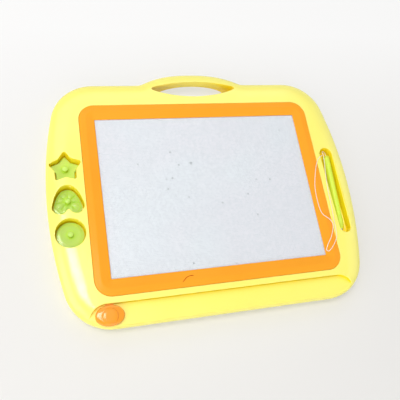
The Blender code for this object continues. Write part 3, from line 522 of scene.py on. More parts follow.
def mesh_from(name, vertices, faces):
    """A mesh whose faces are turned to point outwards."""
    mesh = bpy.data.meshes.new(name)
    mesh.from_pydata([tuple(point) for point in vertices], [], faces)
    work = bmesh.new()
    work.from_mesh(mesh)
    bmesh.ops.recalc_face_normals(work, faces=work.faces)
    work.to_mesh(mesh)
    work.free()
    return mesh


def loft(name, rings, closed=False):
    """Skin rings of equally many points, capped at both ends or closed on itself."""
    count = len(rings[0])
    vertices = [point for ring in rings for point in ring]
    faces = []
    for span in range(len(rings) if closed else len(rings) - 1):
        low = span * count
        high = (span + 1) % len(rings) * count
        for index in range(count):
            following = (index + 1) % count
            faces.append((low + index, low + following, high + following, high + index))
    if not closed:
        faces.append(tuple(range(count))[::-1])
        faces.append(tuple(range((len(rings) - 1) * count, len(rings) * count)))
    return mesh_from(name, vertices, faces)


def at_height(points, height):
    """Lift plan points to a height."""
    return [(x, y, height) for x, y in points]


def prism(name, points, low, high):
    """A plan outline drawn up between two heights."""
    return loft(name, [at_height(points, low), at_height(points, high)])


def joined(name, meshes):
    """One mesh made of several that don't meet."""
    work = bmesh.new()
    for mesh in meshes:
        work.from_mesh(mesh)
    result = bpy.data.meshes.new(name)
    work.to_mesh(result)
    work.free()
    return result


def box(name, x, y, half_x, half_y, low, high):
    """A box about an upright axis."""
    corners = [(x + side * half_x, y + end * half_y) for side, end in ((-1, -1), (1, -1), (1, 1), (-1, 1))]
    return prism(name, corners, low, high)


def solid(mesh):
    """A bare object for a mesh, used while a piece is cut to shape."""
    item = bpy.data.objects.new(mesh.name, mesh)
    bpy.context.scene.collection.objects.link(item)
    return item


def combine(item, meshes, operation="DIFFERENCE"):
    """Cut meshes out of a solid, or add them, and keep only the result."""
    others = [solid(mesh) for mesh in meshes]
    for other in others:
        step = item.modifiers.new(other.name, "BOOLEAN")
        step.operation = operation
        step.solver = "MANIFOLD"
        step.object = other
    graph = bpy.context.evaluated_depsgraph_get()
    mesh = bpy.data.meshes.new_from_object(item.evaluated_get(graph))
    item.modifiers.clear()
    item.data = mesh
    for other in others:
        bpy.data.objects.remove(other)


def carved(mesh, meshes):
    """A mesh with others cut out of it, itself a cutter."""
    item = solid(mesh)
    combine(item, meshes)
    result = item.data
    bpy.data.objects.remove(item)
    return result


def finish_piece(item, name, slot, body, *replaced, finish=None):
    """Give a finished piece its name, place, smooth shading and body, and its slot's finish or its own."""
    item.name = name
    item.data.name = name
    item.data.transform(Matrix.Translation((0, middle_y, 0)))
    item.data.materials.clear()
    item.data.materials.append(materials[finish or slot])
    item.data.shade_smooth()
    item.data.set_sharp_from_angle(angle=crease_angle)
    weighted = item.modifiers.new("weighted_normals", "WEIGHTED_NORMAL")
    weighted.keep_sharp = True
    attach(item, body)
    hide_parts(*replaced)


def bend(steps, end=math.pi / 2):
    """A rounded edge at even steps of its turn: one less the cosine, and one less the sine."""
    turns = [end * step / steps for step in range(steps + 1)]
    return [(1 - math.cos(turn), 1 - math.sin(turn)) for turn in turns]


def arc(centre_x, centre_y, radius, start, end, steps):
    """Points along an arc, both ends included."""
    points = []
    for step in range(steps + 1):
        angle = start + (end - start) * step / steps
        points.append((centre_x + radius * math.cos(angle), centre_y + radius * math.sin(angle)))
    return points


def circle(centre_x, centre_y, radius, steps=circle_steps):
    """Points round a full circle."""
    return arc(centre_x, centre_y, radius, 0, 2 * math.pi * (steps - 1) / steps, steps - 1)


def rounded_rectangle(half_x, half_y, radius):
    """A rectangle about the middle of the screen, with arcs at its corners."""
    points = []
    for corner, (sign_x, sign_y) in enumerate([(1, -1), (1, 1), (-1, 1), (-1, -1)]):
        start = (corner - 1) * math.pi / 2
        centre_x = sign_x * (half_x - radius)
        centre_y = sign_y * (half_y - radius)
        points += arc(centre_x, centre_y, radius, start, start + math.pi / 2, rectangle_steps)
    return points


def inset(points, distances):
    """Move an anticlockwise outline inwards, by one distance or by one for each point."""
    count = len(points)
    if not isinstance(distances, list):
        distances = [distances] * count
    moved = []
    for index, (x, y) in enumerate(points):
        here = Vector((x, y))
        edge_in = (here - Vector(points[index - 1])).normalized()
        edge_out = (Vector(points[(index + 1) % count]) - here).normalized()
        normal_in = Vector((edge_in.y, -edge_in.x))
        normal_out = Vector((edge_out.y, -edge_out.x))
        mitre = (normal_in + normal_out) / (1 + normal_in.dot(normal_out))
        moved.append((x - distances[index] * mitre.x, y - distances[index] * mitre.y))
    return moved


def inner_ring(points, distances, height):
    """An outline moved inwards, at a height."""
    return at_height(inset(points, distances), height)


def shrunk(points, distance):
    """Scale an outline about its middle, so that its sides move inwards by a distance."""
    area = 0
    length = 0
    for index, (x, y) in enumerate(points):
        last_x, last_y = points[index - 1]
        area += (last_x * y - x * last_y) / 2
        length += math.hypot(x - last_x, y - last_y)
    factor = 1 - distance * length / (2 * area)
    return [(x * factor, y * factor) for x, y in points]


def neighbours(rows, index):
    """The rows before and after one, or itself at an end."""
    return rows[max(0, index - 1)], rows[min(len(rows) - 1, index + 1)]


def shifted(points, x, y):
    """Move a plan outline."""
    return [(px + x, py + y) for px, py in points]


def arch_height(x, rise):
    """How far the handle's arch stands above the straight top edge."""
    slope = 1 - (abs(x) / handle_half_length) ** handle_crest_power
    crest = 1 + math.sqrt(1 + handle_foot_blend_share ** 2)
    return rise * (slope + math.sqrt(slope ** 2 + handle_foot_blend_share ** 2)) / crest


def case_outline(rise):
    """The case's outline, anticlockwise, with its handle arch of this rise."""
    side_centre = half_width - side_radius
    corner_rise = half_height - case_corner_radius
    corner_x = side_centre + math.sqrt((side_radius - case_corner_radius) ** 2 - corner_rise ** 2)
    lean = math.atan2(corner_rise, corner_x - side_centre)
    quarter = math.pi / 2
    right = arc(corner_x, -corner_rise, case_corner_radius, -quarter, -lean, corner_steps)
    right += arc(side_centre, 0, side_radius, -lean, lean, side_steps)[1:-1]
    right += arc(corner_x, corner_rise, case_corner_radius, lean, quarter, corner_steps)
    for step in range(arch_steps):
        x = handle_reach * (1 - step / arch_steps)
        right.append((x, half_height + arch_height(x, rise)))
    middle = [(0, half_height + arch_height(0, rise))]
    left = [(-x, y) for x, y in reversed(right)]
    return right + middle + left


def crown_reaches(points):
    """How far in from the edge the crown runs at each point, less along the bottom."""
    reaches = []
    count = len(points)
    for index in range(count):
        along = (Vector(points[(index + 1) % count]) - Vector(points[index - 1])).normalized()
        downward = max(0.0, along.x) ** 2
        reaches.append(side_crown + (bottom_crown - side_crown) * downward)
    return reaches


def crowned_block(name, outline, skin, low, steps):
    """The front's pillow form, thinned by a skin, from a low plane up to the face."""
    reaches = crown_reaches(outline)
    rings = [inner_ring(outline, skin, low)]
    for across, down in bend(steps):
        distances = [skin + (reach - skin) * across for reach in reaches]
        rings.append(inner_ring(outline, distances, face - skin - (crown_drop - skin) * down))
    return loft(name, rings)


def grip_outline(grow=0.0):
    """The lens-shaped finger gap of the handle with rounded ends, grown outwards by a distance."""
    end_x = grip_half_length - grip_end_radius
    points = arc(end_x, 0, grip_end_radius, -grip_end_low_turn, grip_end_high_turn, grip_end_steps)
    for side, rise in ((1, grip_top_rise), (-1, grip_bottom_rise)):
        radius = (grip_half_length ** 2 + rise ** 2) / (2 * rise)
        for step in range(1, arch_steps):
            x = side * end_x * (1 - 2 * step / arch_steps)
            height = grip_end_height / 2 + rise - radius + math.sqrt(radius ** 2 - x ** 2)
            points.append((x, side * height))
        if side > 0:
            points += arc(-end_x, 0, grip_end_radius, math.pi - grip_end_high_turn,
                          math.pi + grip_end_low_turn, grip_end_steps)
    return inset(shifted(points, 0, grip_middle_y), -grow)


def grip_mouth(lip, edge, outward):
    """Rings of the finger gap's rounded mouth at the face or the back, from its straight wall outwards."""
    rings = [at_height(grip_outline(lip * across), edge - outward * lip * down)
             for across, down in bend(grip_lip_steps)[:-1]]
    for rise in (grip_flare_rise * lip, overrun):
        rings.append(at_height(grip_outline(grip_flare * lip), edge + outward * rise))
    return rings


def notch_outline():
    """The back shell's wall round the finger gap, open to the top edge."""
    low = sorted((x, y) for x, y in grip_outline(wall) if y < grip_middle_y)
    beyond = half_height + handle_rise + overrun
    return low + [(low[-1][0], beyond), (low[0][0], beyond)]


def finger_arch():
    """The arched room for the fingers behind the handle, from the gap out through the top edge."""
    top = handle_back_height + joint_gap
    power = 2 / handle_back_power
    section = [(-handle_back_half_span, -overrun)]
    for step in range(arch_steps + 1):
        turn = math.pi * (1 - step / arch_steps)
        across = math.copysign(abs(math.cos(turn)) ** power, math.cos(turn))
        section.append((handle_back_half_span * across, top * abs(math.sin(turn)) ** power))
    section.append((handle_back_half_span, -overrun))
    beyond = half_height + handle_rise + overrun
    return loft("finger_arch", [[(x, y, z) for x, z in section] for y in (grip_middle_y, beyond)])


def tray_block(name, outline, skin, high, steps, chamfer):
    """The back's form, rounded at its back edge, thinned by a skin and bevelled at its top edge."""
    rings = []
    for across, down in reversed(bend(steps)):
        distance = skin + (back_round - skin) * across
        rings.append(inner_ring(outline, distance, skin + (back_round - skin) * down))
    rings.append(inner_ring(outline, skin, high - chamfer))
    if chamfer:
        rings.append(inner_ring(outline, skin + chamfer, high))
    return loft(name, rings)


def star_outline():
    """A plump star with rounded tips and softened waists, its top tip up the board."""
    points = []
    half_turn = math.pi / star_tips
    tip_reach = star_recess_radius - star_tip_round
    waist_reach = star_recess_radius * star_waist_share + star_waist_offset
    for tip in range(star_tips):
        angle = math.pi / 2 + tip * 2 * half_turn
        points += arc(tip_reach * math.cos(angle), tip_reach * math.sin(angle), star_tip_round,
                      angle - star_tip_spread, angle + star_tip_spread, star_tip_steps)
        waist = angle + half_turn
        turn = waist + math.pi
        points += arc(waist_reach * math.cos(waist), waist_reach * math.sin(waist), star_waist_radius,
                      turn + star_waist_turn, turn - star_waist_turn, star_waist_steps)
    return points


def smoothed(rows, steps, closed=False):
    """Rows of values with Catmull-Rom steps between them, and on to the first row again if closed."""
    count = len(rows)
    result = []
    for index in range(count if closed else count - 1):
        picks = [(index + shift) % count if closed else min(max(0, index + shift), count - 1)
                 for shift in (-1, 0, 1, 2)]
        a, b, c, d = (Vector(rows[pick]) for pick in picks)
        for step in range(steps):
            t = step / steps
            result.append(0.5 * (2 * b + (c - a) * t + (2 * a - 5 * b + 4 * c - d) * t ** 2
                                 + (3 * b - a - 3 * c + d) * t ** 3))
    return result if closed else result + [Vector(rows[-1])]


# The right half of the heart, from its point round to its notch, as shares of width and height
heart_half_shares = [
    (0.0, 0.50),
    (0.20, 0.435),
    (0.34, 0.255),
    (0.43, 0.055),
    (0.50, -0.225),
    (0.455, -0.385),
    (0.32, -0.500),
    (0.145, -0.480),
    (0.0, -0.355),
]


def heart_outline():
    """A plump heart with its point up the board and its two lobes down."""
    right = [(x * heart_recess_width, y * heart_recess_height) for x, y in heart_half_shares]
    left = [(-x, y) for x, y in reversed(right[1:-1])]
    return smoothed((right + left)[::-1], heart_steps, closed=True)


# The recesses' outlines, each about its own middle, and where they stand up the board
stamps = {
    "star": (star_outline(), stamp_middle + stamp_pitch),
    "heart": (heart_outline(), stamp_middle),
    "round": (circle(0, 0, round_recess_radius), stamp_middle - stamp_pitch),
}


def stamp_outline(name, distance=0.0):
    """A stamp's recess in its place, moved inwards by a distance."""
    shape, y = stamps[name]
    return shifted(shrunk(shape, distance), stamp_x, y)


def trough_outline():
    """The pen's trough: a long slot, a little narrower and further right at its foot."""
    top_y = trough_top - trough_top_radius
    bottom_y = trough_bottom + trough_bottom_radius
    top_x = trough_x - trough_lean / 2
    bottom_x = trough_x + trough_lean / 2
    points = arc(top_x, top_y, trough_top_radius, 0, math.pi, trough_steps)
    return points + arc(bottom_x, bottom_y, trough_bottom_radius, math.pi, 2 * math.pi, trough_steps)


def track_outline(grow=0.0):
    """The lowered strip along the bottom edge, with round ends, open to the edge."""
    radius = track_end_radius + grow
    centre_x = half_width - track_end_setback
    centre_y = -half_bezel_y - track_top_below_bezel - track_end_radius
    beyond = -half_height - overrun
    points = arc(centre_x, centre_y, radius, 0, math.pi / 2, track_steps)
    points += arc(-centre_x, centre_y, radius, math.pi / 2, math.pi, track_steps)
    return points + [(-centre_x - radius, beyond), (centre_x + radius, beyond)]


def lathe(name, x, y, profile, steps=column_steps):
    """A round form about an upright axis, from radius and height along it."""
    return loft(name, [at_height(circle(x, y, radius, steps), height) for radius, height in profile])


def screw_columns(name, *profile):
    """One round form at each screw's place, from radius and height along it."""
    return joined(name, [lathe(name, x, y, profile) for x, y in screw_places])


def surface_of(mesh):
    """The height of a form's upper surface over a plan point, or its lowest height beside it."""
    work = bmesh.new()
    work.from_mesh(mesh)
    tree = BVHTree.FromBMesh(work)
    work.free()
    low = min(vertex.co.z for vertex in mesh.vertices)

    def height(x, y):
        hit = tree.ray_cast(Vector((x, y, 2 * face)), Vector((0, 0, -1)))
        return hit[0].z if hit[0] else low

    return height


def mouth(name, outline, floor, surface, lip, fillet=0.0):
    """A cutter for an opening in the face: filleted floor, upright walls and a rounded lip."""
    rings = [at_height(outline, floor)]
    if fillet:
        rings = [inner_ring(outline, fillet * down, floor + fillet * across)
                 for across, down in bend(fillet_steps)[:-1]]
    # Where the crown dips to the floor, each ring of the lip stays a hair above it and above the last ring
    lowest = floor + fillet
    for step, (across, down) in enumerate(bend(lip_steps, lip_turn)):
        least = lowest + (step + 1) * joint_gap / 10
        grown = inset(outline, -lip * across)
        rings.append([(x, y, max(least, surface(x, y) - lip * down)) for x, y in grown])
    least = lowest + joint_gap
    flared = inset(outline, -lip_flare * lip)
    rings.append([(x, y, max(least, surface(x, y) + lip_flare_rise * lip)) for x, y in flared])
    rings.append(at_height(flared, face + overrun))
    return loft(name, rings)


def make_front_shell():
    """The yellow front shell, with a soft crown, rounded lips and filleted recesses."""
    outline = case_outline(handle_rise)
    deep = recess_floor - tub_floor - overrun
    front_bottom = parting_height + joint_gap
    track_floor = face - track_step
    ledge_top = skirt_low - joint_gap
    ledge_bottom = ledge_top - ledge_thickness
    above = face + overrun
    block = crowned_block("front_block", outline, 0.0, deep, crown_steps)
    surface = surface_of(block)
    pocket_x = half_bezel_x + joint_gap
    pocket_y = half_bezel_y + joint_gap
    pocket_radius = bezel_corner_radius + joint_gap
    pocket_block = rounded_rectangle(pocket_x + tub_wall, pocket_y + tub_wall, pocket_radius + tub_wall)
    lumps = [
        prism("pocket_block", pocket_block, ledge_bottom, above),
        prism("grip_block", grip_outline(wall), front_bottom, above),
        prism("track_block", track_outline(tub_wall), track_floor - wall, above),
        prism("trough_block", inset(trough_outline(), -tub_wall), trough_floor - tub_floor, above),
        screw_columns("post_block", (post_radius, front_bottom), (post_radius, above)),
    ]
    for name in stamps:
        tub = stamp_outline(name, -tub_wall)
        lumps.append(prism(name + "_block", tub, recess_floor - tub_floor, above))
    hollow = crowned_block("front_cavity", outline, wall, deep - overrun, coarse_steps)
    rim_inner = inset(outline, wall + joint_gap / 2)
    rim_outer = inset(outline, -overrun)
    rim = loft("front_rim", [
        at_height(rim_outer, deep - 2 * overrun),
        at_height(rim_outer, front_bottom + parting_chamfer + overrun),
        inner_ring(outline, parting_chamfer, front_bottom),
        at_height(rim_inner, front_bottom),
        at_height(rim_inner, deep - 2 * overrun),
    ], closed=True)
    pocket = rounded_rectangle(pocket_x, pocket_y, pocket_radius)
    ledge_gap = rounded_rectangle(half_bezel_x - ledge_side, half_bezel_y - ledge_end,
                                  ledge_corner_radius)
    slit_y = -half_bezel_y - track_top_below_bezel + tub_wall / 2
    slit_low = track_floor + slit_sill
    grip_start = at_height(grip_outline(), front_bottom - 3 * overrun)
    cutters = [
        rim,
        mouth("pocket_cut", pocket, ledge_top, surface, pocket_lip),
        prism("ledge_cut", ledge_gap, ledge_bottom - overrun, ledge_top + overrun),
        loft("grip_cut", [grip_start, *grip_mouth(grip_lip, face, 1)]),
        mouth("track_cut", track_outline(), track_floor, surface, track_lip),
        mouth("trough_cut", trough_outline(), trough_floor, surface, trough_lip, trough_fillet),
        box("slit", 0, slit_y, abs(knob_x) + slit_overlap, tub_wall / 2 + overrun, slit_low,
            slit_low + slit_height),
        screw_columns("pilot_cut", (screw_hole_radius, front_bottom - overrun),
                      (screw_hole_radius, track_floor - wall - joint_gap)),
        lathe("anchor_cut", *anchor_place, [
            (string_hole_radius, trough_floor - tub_floor - overrun),
            (string_hole_radius, trough_floor - string_hole_lip),
            (string_hole_radius + string_hole_lip, trough_floor),
            (string_hole_radius + string_hole_lip, trough_floor + string_hole_lip),
        ]),
    ]
    for name in stamps:
        cutters.append(mouth(name + "_recess", stamp_outline(name), recess_floor, surface, recess_lip,
                             recess_fillet))
    shell = solid(block)
    combine(shell, [carved(hollow, lumps), *cutters])
    finish_piece(shell, "case_front", "yellow_plastic", "board", "front_shell")


def make_back_shell():
    """The yellow back tray, with bosses, rails, counterbores and the handle's arched back."""
    outline = case_outline(0.0)
    beyond = parting_height + 2 * overrun
    hollow = tray_block("back_cavity", outline, wall, parting_height + overrun, coarse_steps, 0.0)
    lumps = [
        screw_columns("boss_block", (boss_radius, 0), (boss_radius, beyond)),
        prism("notch_block", notch_outline(), 0, beyond),
    ]
    arch = [(x, y) for x, y in case_outline(handle_rise) if y > half_height and abs(x) < handle_reach]
    low_y = half_height - back_round
    plate = [(-arch[0][0], low_y), (arch[0][0], low_y)] + arch
    plate_mesh = loft("handle_plate", [
        inner_ring(plate, handle_back_chamfer, handle_back_height),
        at_height(plate, handle_back_height + handle_back_chamfer),
        at_height(plate, parting_height - parting_chamfer),
        inner_ring(plate, parting_chamfer, parting_height),
    ])
    grip_end = at_height(grip_outline(), beyond)
    rim = counterbore_radius
    chamfer = counterbore_chamfer
    shell = solid(tray_block("back_block", outline, 0.0, parting_height, back_steps, parting_chamfer))
    combine(shell, [plate_mesh], "UNION")
    combine(shell, [
        carved(hollow, lumps),
        finger_arch(),
        loft("back_grip_cut", [*reversed(grip_mouth(back_grip_lip, 0, -1)), grip_end]),
        screw_columns("counterbore_cut", (rim + chamfer + overrun, -overrun), (rim + chamfer, 0),
                      (rim, chamfer), (rim, counterbore_depth)),
        screw_columns("screw_hole_cut", (screw_hole_radius, 0), (screw_hole_radius, beyond)),
    ])
    rails = ((rail_offset, rail_top), (-rail_offset, rail_top + rail_notch))
    combine(shell, [box("rail", 0, y, rail_half_length, rail_width / 2, wall / 2, top)
                    for y, top in rails], "UNION")
    finish_piece(shell, "case_back", "yellow_plastic", "board", "back_shell")


def make_bezel():
    """The orange frame with softened edges, a crease and a rounded lip at the screen."""
    edge = face + bezel_edge_height
    crease = face + bezel_crease_height
    inner = face - bezel_inner_drop
    lip_bottom = screen_top + joint_gap

    def ring(shrink_x, shrink_y, radius, height):
        plan = rounded_rectangle(half_bezel_x - shrink_x, half_bezel_y - shrink_y, radius)
        return at_height(plan, height)

    def even_ring(shrink, height):
        return ring(shrink, shrink, bezel_corner_radius - shrink, height)

    rings = [even_ring(0, skirt_low)]
    for across, down in bend(lip_steps, bezel_edge_turn):
        rings.append(even_ring(bezel_edge_round * across, edge - bezel_edge_round * down))
    slope = (crease - edge) / (bezel_crease_inset - bezel_edge_round)
    fall = (crease - inner) / (bezel_side_width - bezel_crease_inset)
    soften = bezel_crease_soften
    rings.append(even_ring(bezel_crease_inset - soften, crease - soften * slope))
    rings.append(even_ring(bezel_crease_inset, crease - soften * (slope + fall) / 4))
    share = soften / (bezel_side_width - bezel_crease_inset)
    shrink_x = bezel_crease_inset + soften
    shrink_y = bezel_crease_inset + share * (bezel_end_width - bezel_crease_inset)
    radius = bezel_corner_radius - bezel_crease_inset
    radius -= share * (radius - screen_corner_radius)
    rings.append(ring(shrink_x, shrink_y, radius, crease - soften * fall))
    for across, down in bend(lip_steps):
        back = bezel_inner_round * down
        rings.append(ring(bezel_side_width - back, bezel_end_width - back, screen_corner_radius + back,
                          inner - bezel_inner_round * across))
    skirt = skirt_thickness
    rings += [
        ring(bezel_side_width, bezel_end_width, screen_corner_radius, lip_bottom),
        ring(skirt, skirt, bezel_corner_radius - skirt, lip_bottom),
        ring(skirt, skirt, bezel_corner_radius - skirt, skirt_low),
    ]
    mesh = loft("bezel_ring", rings, closed=True)
    make_scuff(surface_of(mesh))
    finish_piece(solid(mesh), "bezel_frame", "orange_plastic", "board", "bezel", finish="orange_frame")


# The short dark scuff on the bezel's lower side, along its curve: place and half width, in millimetres
scuff_route = [
    (-58.3, -119.3, 0.18),
    (-57.2, -118.3, 0.32),
    (-55.3, -116.5, 0.42),
    (-53.2, -114.5, 0.40),
    (-50.4, -113.0, 0.36),
    (-47.3, -112.4, 0.42),
    (-44.8, -112.4, 0.50),
    (-43.2, -112.7, 0.12),
]
scuff_rise = 0.00004


def make_scuff(surface):
    """The scuff as a thin dark ribbon that follows the bezel's surface."""
    rings = []
    rows = smoothed(scuff_route, scuff_steps)
    for index, (x, y, half) in enumerate(rows):
        before, after = neighbours(rows, index)
        along = (after - before).xy.normalized()
        side = Vector((-along.y, along.x)) * half
        ring = []
        for across, rise in ((1, -scuff_rise), (-1, -scuff_rise), (-1, scuff_rise), (1, scuff_rise)):
            place_x = (x + across * side.x) / 1000
            place_y = (y + across * side.y) / 1000
            ring.append((place_x, place_y, surface(place_x, place_y) + rise))
        rings.append(ring)
    scuff = solid(loft("scuff", rings))
    finish_piece(scuff, "bezel_scuff", "orange_plastic", "board", finish="orange_scuff")


# Grains of iron powder left under the film: place and radius in millimetres
speck_places = [
    (-22, 38, 1.9),
    (-93, 40, 1.0),
    (-48, 55, 1.25),
    (-39, 36, 1.25),
    (-50, 18, 1.3),
    (-58, 17, 0.95),
    (-58, 3, 1.15),
    (-32, -10, 1.1),
    (-40, -97, 1.35),
    (86, 8, 1.3),
    (66, 9, 0.95),
    (12, -21, 1.2),
    (50, -11, 1.15),
    (58, -41, 1.15),
    (117, 82, 0.95),
    (16, -103, 0.9),
]


def make_specks():
    """The stray grains under the screen's film, each a small uneven flake."""
    flakes = []
    for index, (x, y, radius) in enumerate(speck_places):
        points = []
        for step in range(speck_sides):
            angle = 2 * math.pi * step / speck_sides
            uneven = 1 + sum(strength * math.sin(count * angle + turn * index)
                             for strength, count, turn in speck_lobes)
            reach = radius * uneven
            points.append(((x + reach * math.cos(angle)) / 1000, (y + reach * math.sin(angle)) / 1000))
        flakes.append(prism("speck", points, speck_low, speck_low + speck_thickness))
    specks = solid(joined("screen_specks", flakes))
    finish_piece(specks, "screen_specks", "screen_cells", "board", finish="iron_powder")


# The stamp knob's head, from its neck up: shares of the way out to its rim, and of its height
stamp_head_shares = [(0.0, 0.34), (0.15, 0.45), (0.6, 0.56), (0.92, 0.64), (1.0, 0.74)]

# Petals on the heart's right half: direction in degrees, reach of the middle, half length, half width
heart_petals = [
    (65, 0.0089, 0.0037, 0.0029),
    (17.5, 0.0085, 0.0031, 0.0026),
    (-26.5, 0.0102, 0.0047, 0.0030),
    (-67, 0.0096, 0.0040, 0.0021),
]
petal_rise = 0.0005
petal_foot = 0.0003
petal_crest_share = 0.08

# Lines on the heart's right half: direction in degrees, and reach from the knob's middle
heart_groove_rays = [(90, 0.0125), (40, 0.0115), (-5, 0.0135), (-48, 0.0125)]


def mirrored(rows):
    """Rows that start with a direction in degrees, each with its twin on the heart's other half."""
    return [(turn, *rest) for angle, *rest in rows for turn in sorted({angle, 180 - angle})]


def heart_grooves(shape_y, top):
    """Shallow moulded lines that part the heart's face into petals round its knob."""
    grooves = []
    near = stamp_knob_radius + groove_from_knob
    half = groove_width / 2
    for angle, reach in mirrored(heart_groove_rays):
        out_x = math.cos(math.radians(angle))
        out_y = math.sin(math.radians(angle))
        corners = [(stamp_x + out * out_x - side * out_y, shape_y + out * out_y + side * out_x)
                   for out, side in ((near, -half), (reach, -half), (reach, half), (near, half))]
        grooves.append(prism("groove", corners, top - groove_depth, top + overrun))
    return grooves


def heart_domes(shape_y, top):
    """The heart's low domed petals, which each catch a spark of light."""
    domes = []
    for angle, reach, half_length, half_width in mirrored(heart_petals):
        turn = math.radians(angle)
        out = Vector((math.cos(turn), math.sin(turn)))
        side = Vector((-out.y, out.x))
        middle = Vector((stamp_x, shape_y)) + out * reach
        rings = []
        for step in range(petal_steps + 1):
            share = 1 - (1 - petal_crest_share) * step / petal_steps
            plan = [middle + out * x * share * half_length + side * y * share * half_width
                    for x, y in circle(0, 0, 1, petal_sides)]
            rings.append(at_height(plan, top + petal_rise * (1 - share ** 2)))
        foot = [(x, y, top - petal_foot) for x, y, _ in rings[0]]
        domes.append(loft("petal", [foot] + rings))
    return joined("petals", domes)


def stamp_knob(shape_y, top):
    """The knob for a finger and thumb: a filleted neck, a wider head and a domed end."""
    neck = stamp_neck_radius
    fillet = stamp_neck_fillet
    end = top + stamp_knob_height
    profile = [(neck + fillet, top - fillet)]
    profile += [(neck + fillet * down, top + fillet * across) for across, down in bend(fillet_steps)]
    for radius_share, height_share in stamp_head_shares:
        radius = neck + (stamp_knob_radius - neck) * radius_share
        profile.append((radius, top + stamp_knob_height * height_share))
    dome = stamp_knob_height * (1 - stamp_head_shares[-1][1])
    for across, down in bend(dome_steps)[1:-1]:
        profile.append((stamp_knob_radius * (1 - across), end - dome * down))
    return lathe("stamp_knob", stamp_x, shape_y, profile)


def make_stamp(name):
    """A translucent stamp: a plate with a sloped rim, a waisted knob and a pocket for its magnet."""
    shape_y = stamps[name][1]
    bottom = recess_floor + joint_gap
    top = bottom + stamp_thickness
    slope_run, slope_fall = stamp_slopes[name]

    def plan(distance, height):
        """The stamp's outline at a height, moved inwards by a distance."""
        return at_height(stamp_outline(name, stamp_gap + distance), height)

    foot = stamp_edge_round / 3
    rings = [plan(foot, bottom), plan(0, bottom + foot)]
    for across, down in bend(lip_steps + 1, stamp_edge_turn):
        rings.append(plan(stamp_edge_round * across, top - slope_fall - stamp_edge_round * down))
    soften = stamp_slope_soften
    soft_fall = slope_fall * soften / slope_run
    rings += [
        plan(slope_run - soften, top - soft_fall),
        plan(slope_run, top - soft_fall / 4),
        plan(slope_run + soften, top),
    ]
    plate = solid(loft(name + "_plate", rings))
    combine(plate, [stamp_knob(shape_y, top)], "UNION")
    cuts = [loft("pocket", [plan(stamp_rim, bottom - overrun), plan(stamp_rim, magnet_top + joint_gap)])]
    if name == "heart":
        cuts += heart_grooves(shape_y, top)
        low = top - border_depth
        high = top + overrun
        far = border_inset + border_width
        border = [(border_inset, low), (border_inset, high), (far, high), (far, low)]
        cuts.append(loft("border_groove", [plan(*place) for place in border], closed=True))
    combine(plate, cuts)
    if name == "heart":
        combine(plate, [heart_domes(shape_y, top)], "UNION")
    finish_piece(plate, name + "_stamp_body", "green_plastic", name + "_stamp", name + "_stamp",
                 finish=stamp_finishes[name])


def turned(name, profile):
    """A form turned about the pen's axis, from radius and place along it."""
    rings = [[(x, along, z) for x, z in circle(0, 0, radius, pen_sides)] for radius, along in profile]
    mesh = loft(name, rings)
    mesh.transform(pen_frame)
    return mesh


def make_pen():
    """The pen: a barrel with soft grip grooves, its magnetic nib and a domed cap at the string's end."""
    half = pen_length / 2
    cone_low = -half + pen_nib_reach
    shoulder = cone_low + pen_taper_length
    barrel_top = half - pen_cap_flange - joint_gap
    profile = []
    for step in range(pen_cone_steps + 1):
        share = step / pen_cone_steps
        swell = math.sin(math.pi / 2 * share) ** pen_taper_power
        profile.append((pen_radius * (0.5 + 0.5 * swell), cone_low + pen_taper_length * share))
    steps = pen_grip_rings * pen_ring_steps
    for step in range(1, steps + 1):
        along = shoulder + pen_grip_length * step / steps
        wave = 0.5 - 0.5 * math.cos(2 * math.pi * pen_grip_rings * step / steps)
        profile.append((pen_radius - pen_grip_groove * wave, along))
    profile += [
        (pen_radius, barrel_top - pen_edge_round),
        (pen_radius - pen_edge_round / 4, barrel_top - pen_edge_round / 3),
        (pen_radius - pen_edge_round, barrel_top),
    ]
    finish_piece(solid(turned("barrel", profile)), "pen_body", "pen_plastic", "pen", "pen_barrel")
    flange_low = half - pen_cap_flange
    cap = [(pen_radius - pen_edge_round, flange_low), (pen_radius, flange_low + pen_edge_round / 2)]
    for across, down in bend(pen_cap_steps):
        cap.append((pen_radius * (1 - (1 - pen_cap_top_share) * across),
                    half - (pen_cap_flange - pen_edge_round) * down))
    finish_piece(solid(turned("cap", cap)), "pen_end_cap", "pen_plastic", "pen", "pen_cap")
    nib = [(pen_nib_radius * (1 - (1 - pen_nib_tip_share) * down), -half + pen_nib_radius * across)
           for across, down in bend(pen_nib_steps)]
    nib.append((pen_nib_radius, cone_low + pen_edge_round))
    finish_piece(solid(turned("nib", nib)), "pen_tip", "magnet_metal", "pen", "pen_nib")


# Knob section: shares of its half length and half width, of the way to the button, and of its height
knob_outer_shares = [
    (0.965, 0.0, 0.0),
    (1.0, 0.0, 0.15),
    (0.995, 0.0, 0.45),
    (0.96, 0.0, 0.73),
    (0.90, 0.0, 0.88),
    (0.84, 0.5, 0.97),
    (0.84, 1.0, 1.0),
]
knob_inner_shares = [(0.59, 1.0), (0.83, 0.72), (0.866, 0.0)]
knob_button_shares = [(0.99, 0.34), (0.94, 0.62), (0.84, 0.80), (0.66, 0.92), (0.40, 0.98), (0.05, 1.0)]
knob_button_foot_share = 1.03


def knob_ring(length_share, button_share, height):
    """One ring of the knob: an oval that turns into the button's circle near the top."""
    foot_radius = knob_button_radius * knob_button_foot_share
    half_x = knob_half_length * length_share * (1 - button_share) + foot_radius * button_share
    half_y = knob_half_width * length_share * (1 - button_share) + foot_radius * button_share
    ring_y = knob_y + knob_button_offset * button_share
    return at_height([(knob_x + half_x * x, ring_y + half_y * y) for x, y in circle(0, 0, 1)], height)


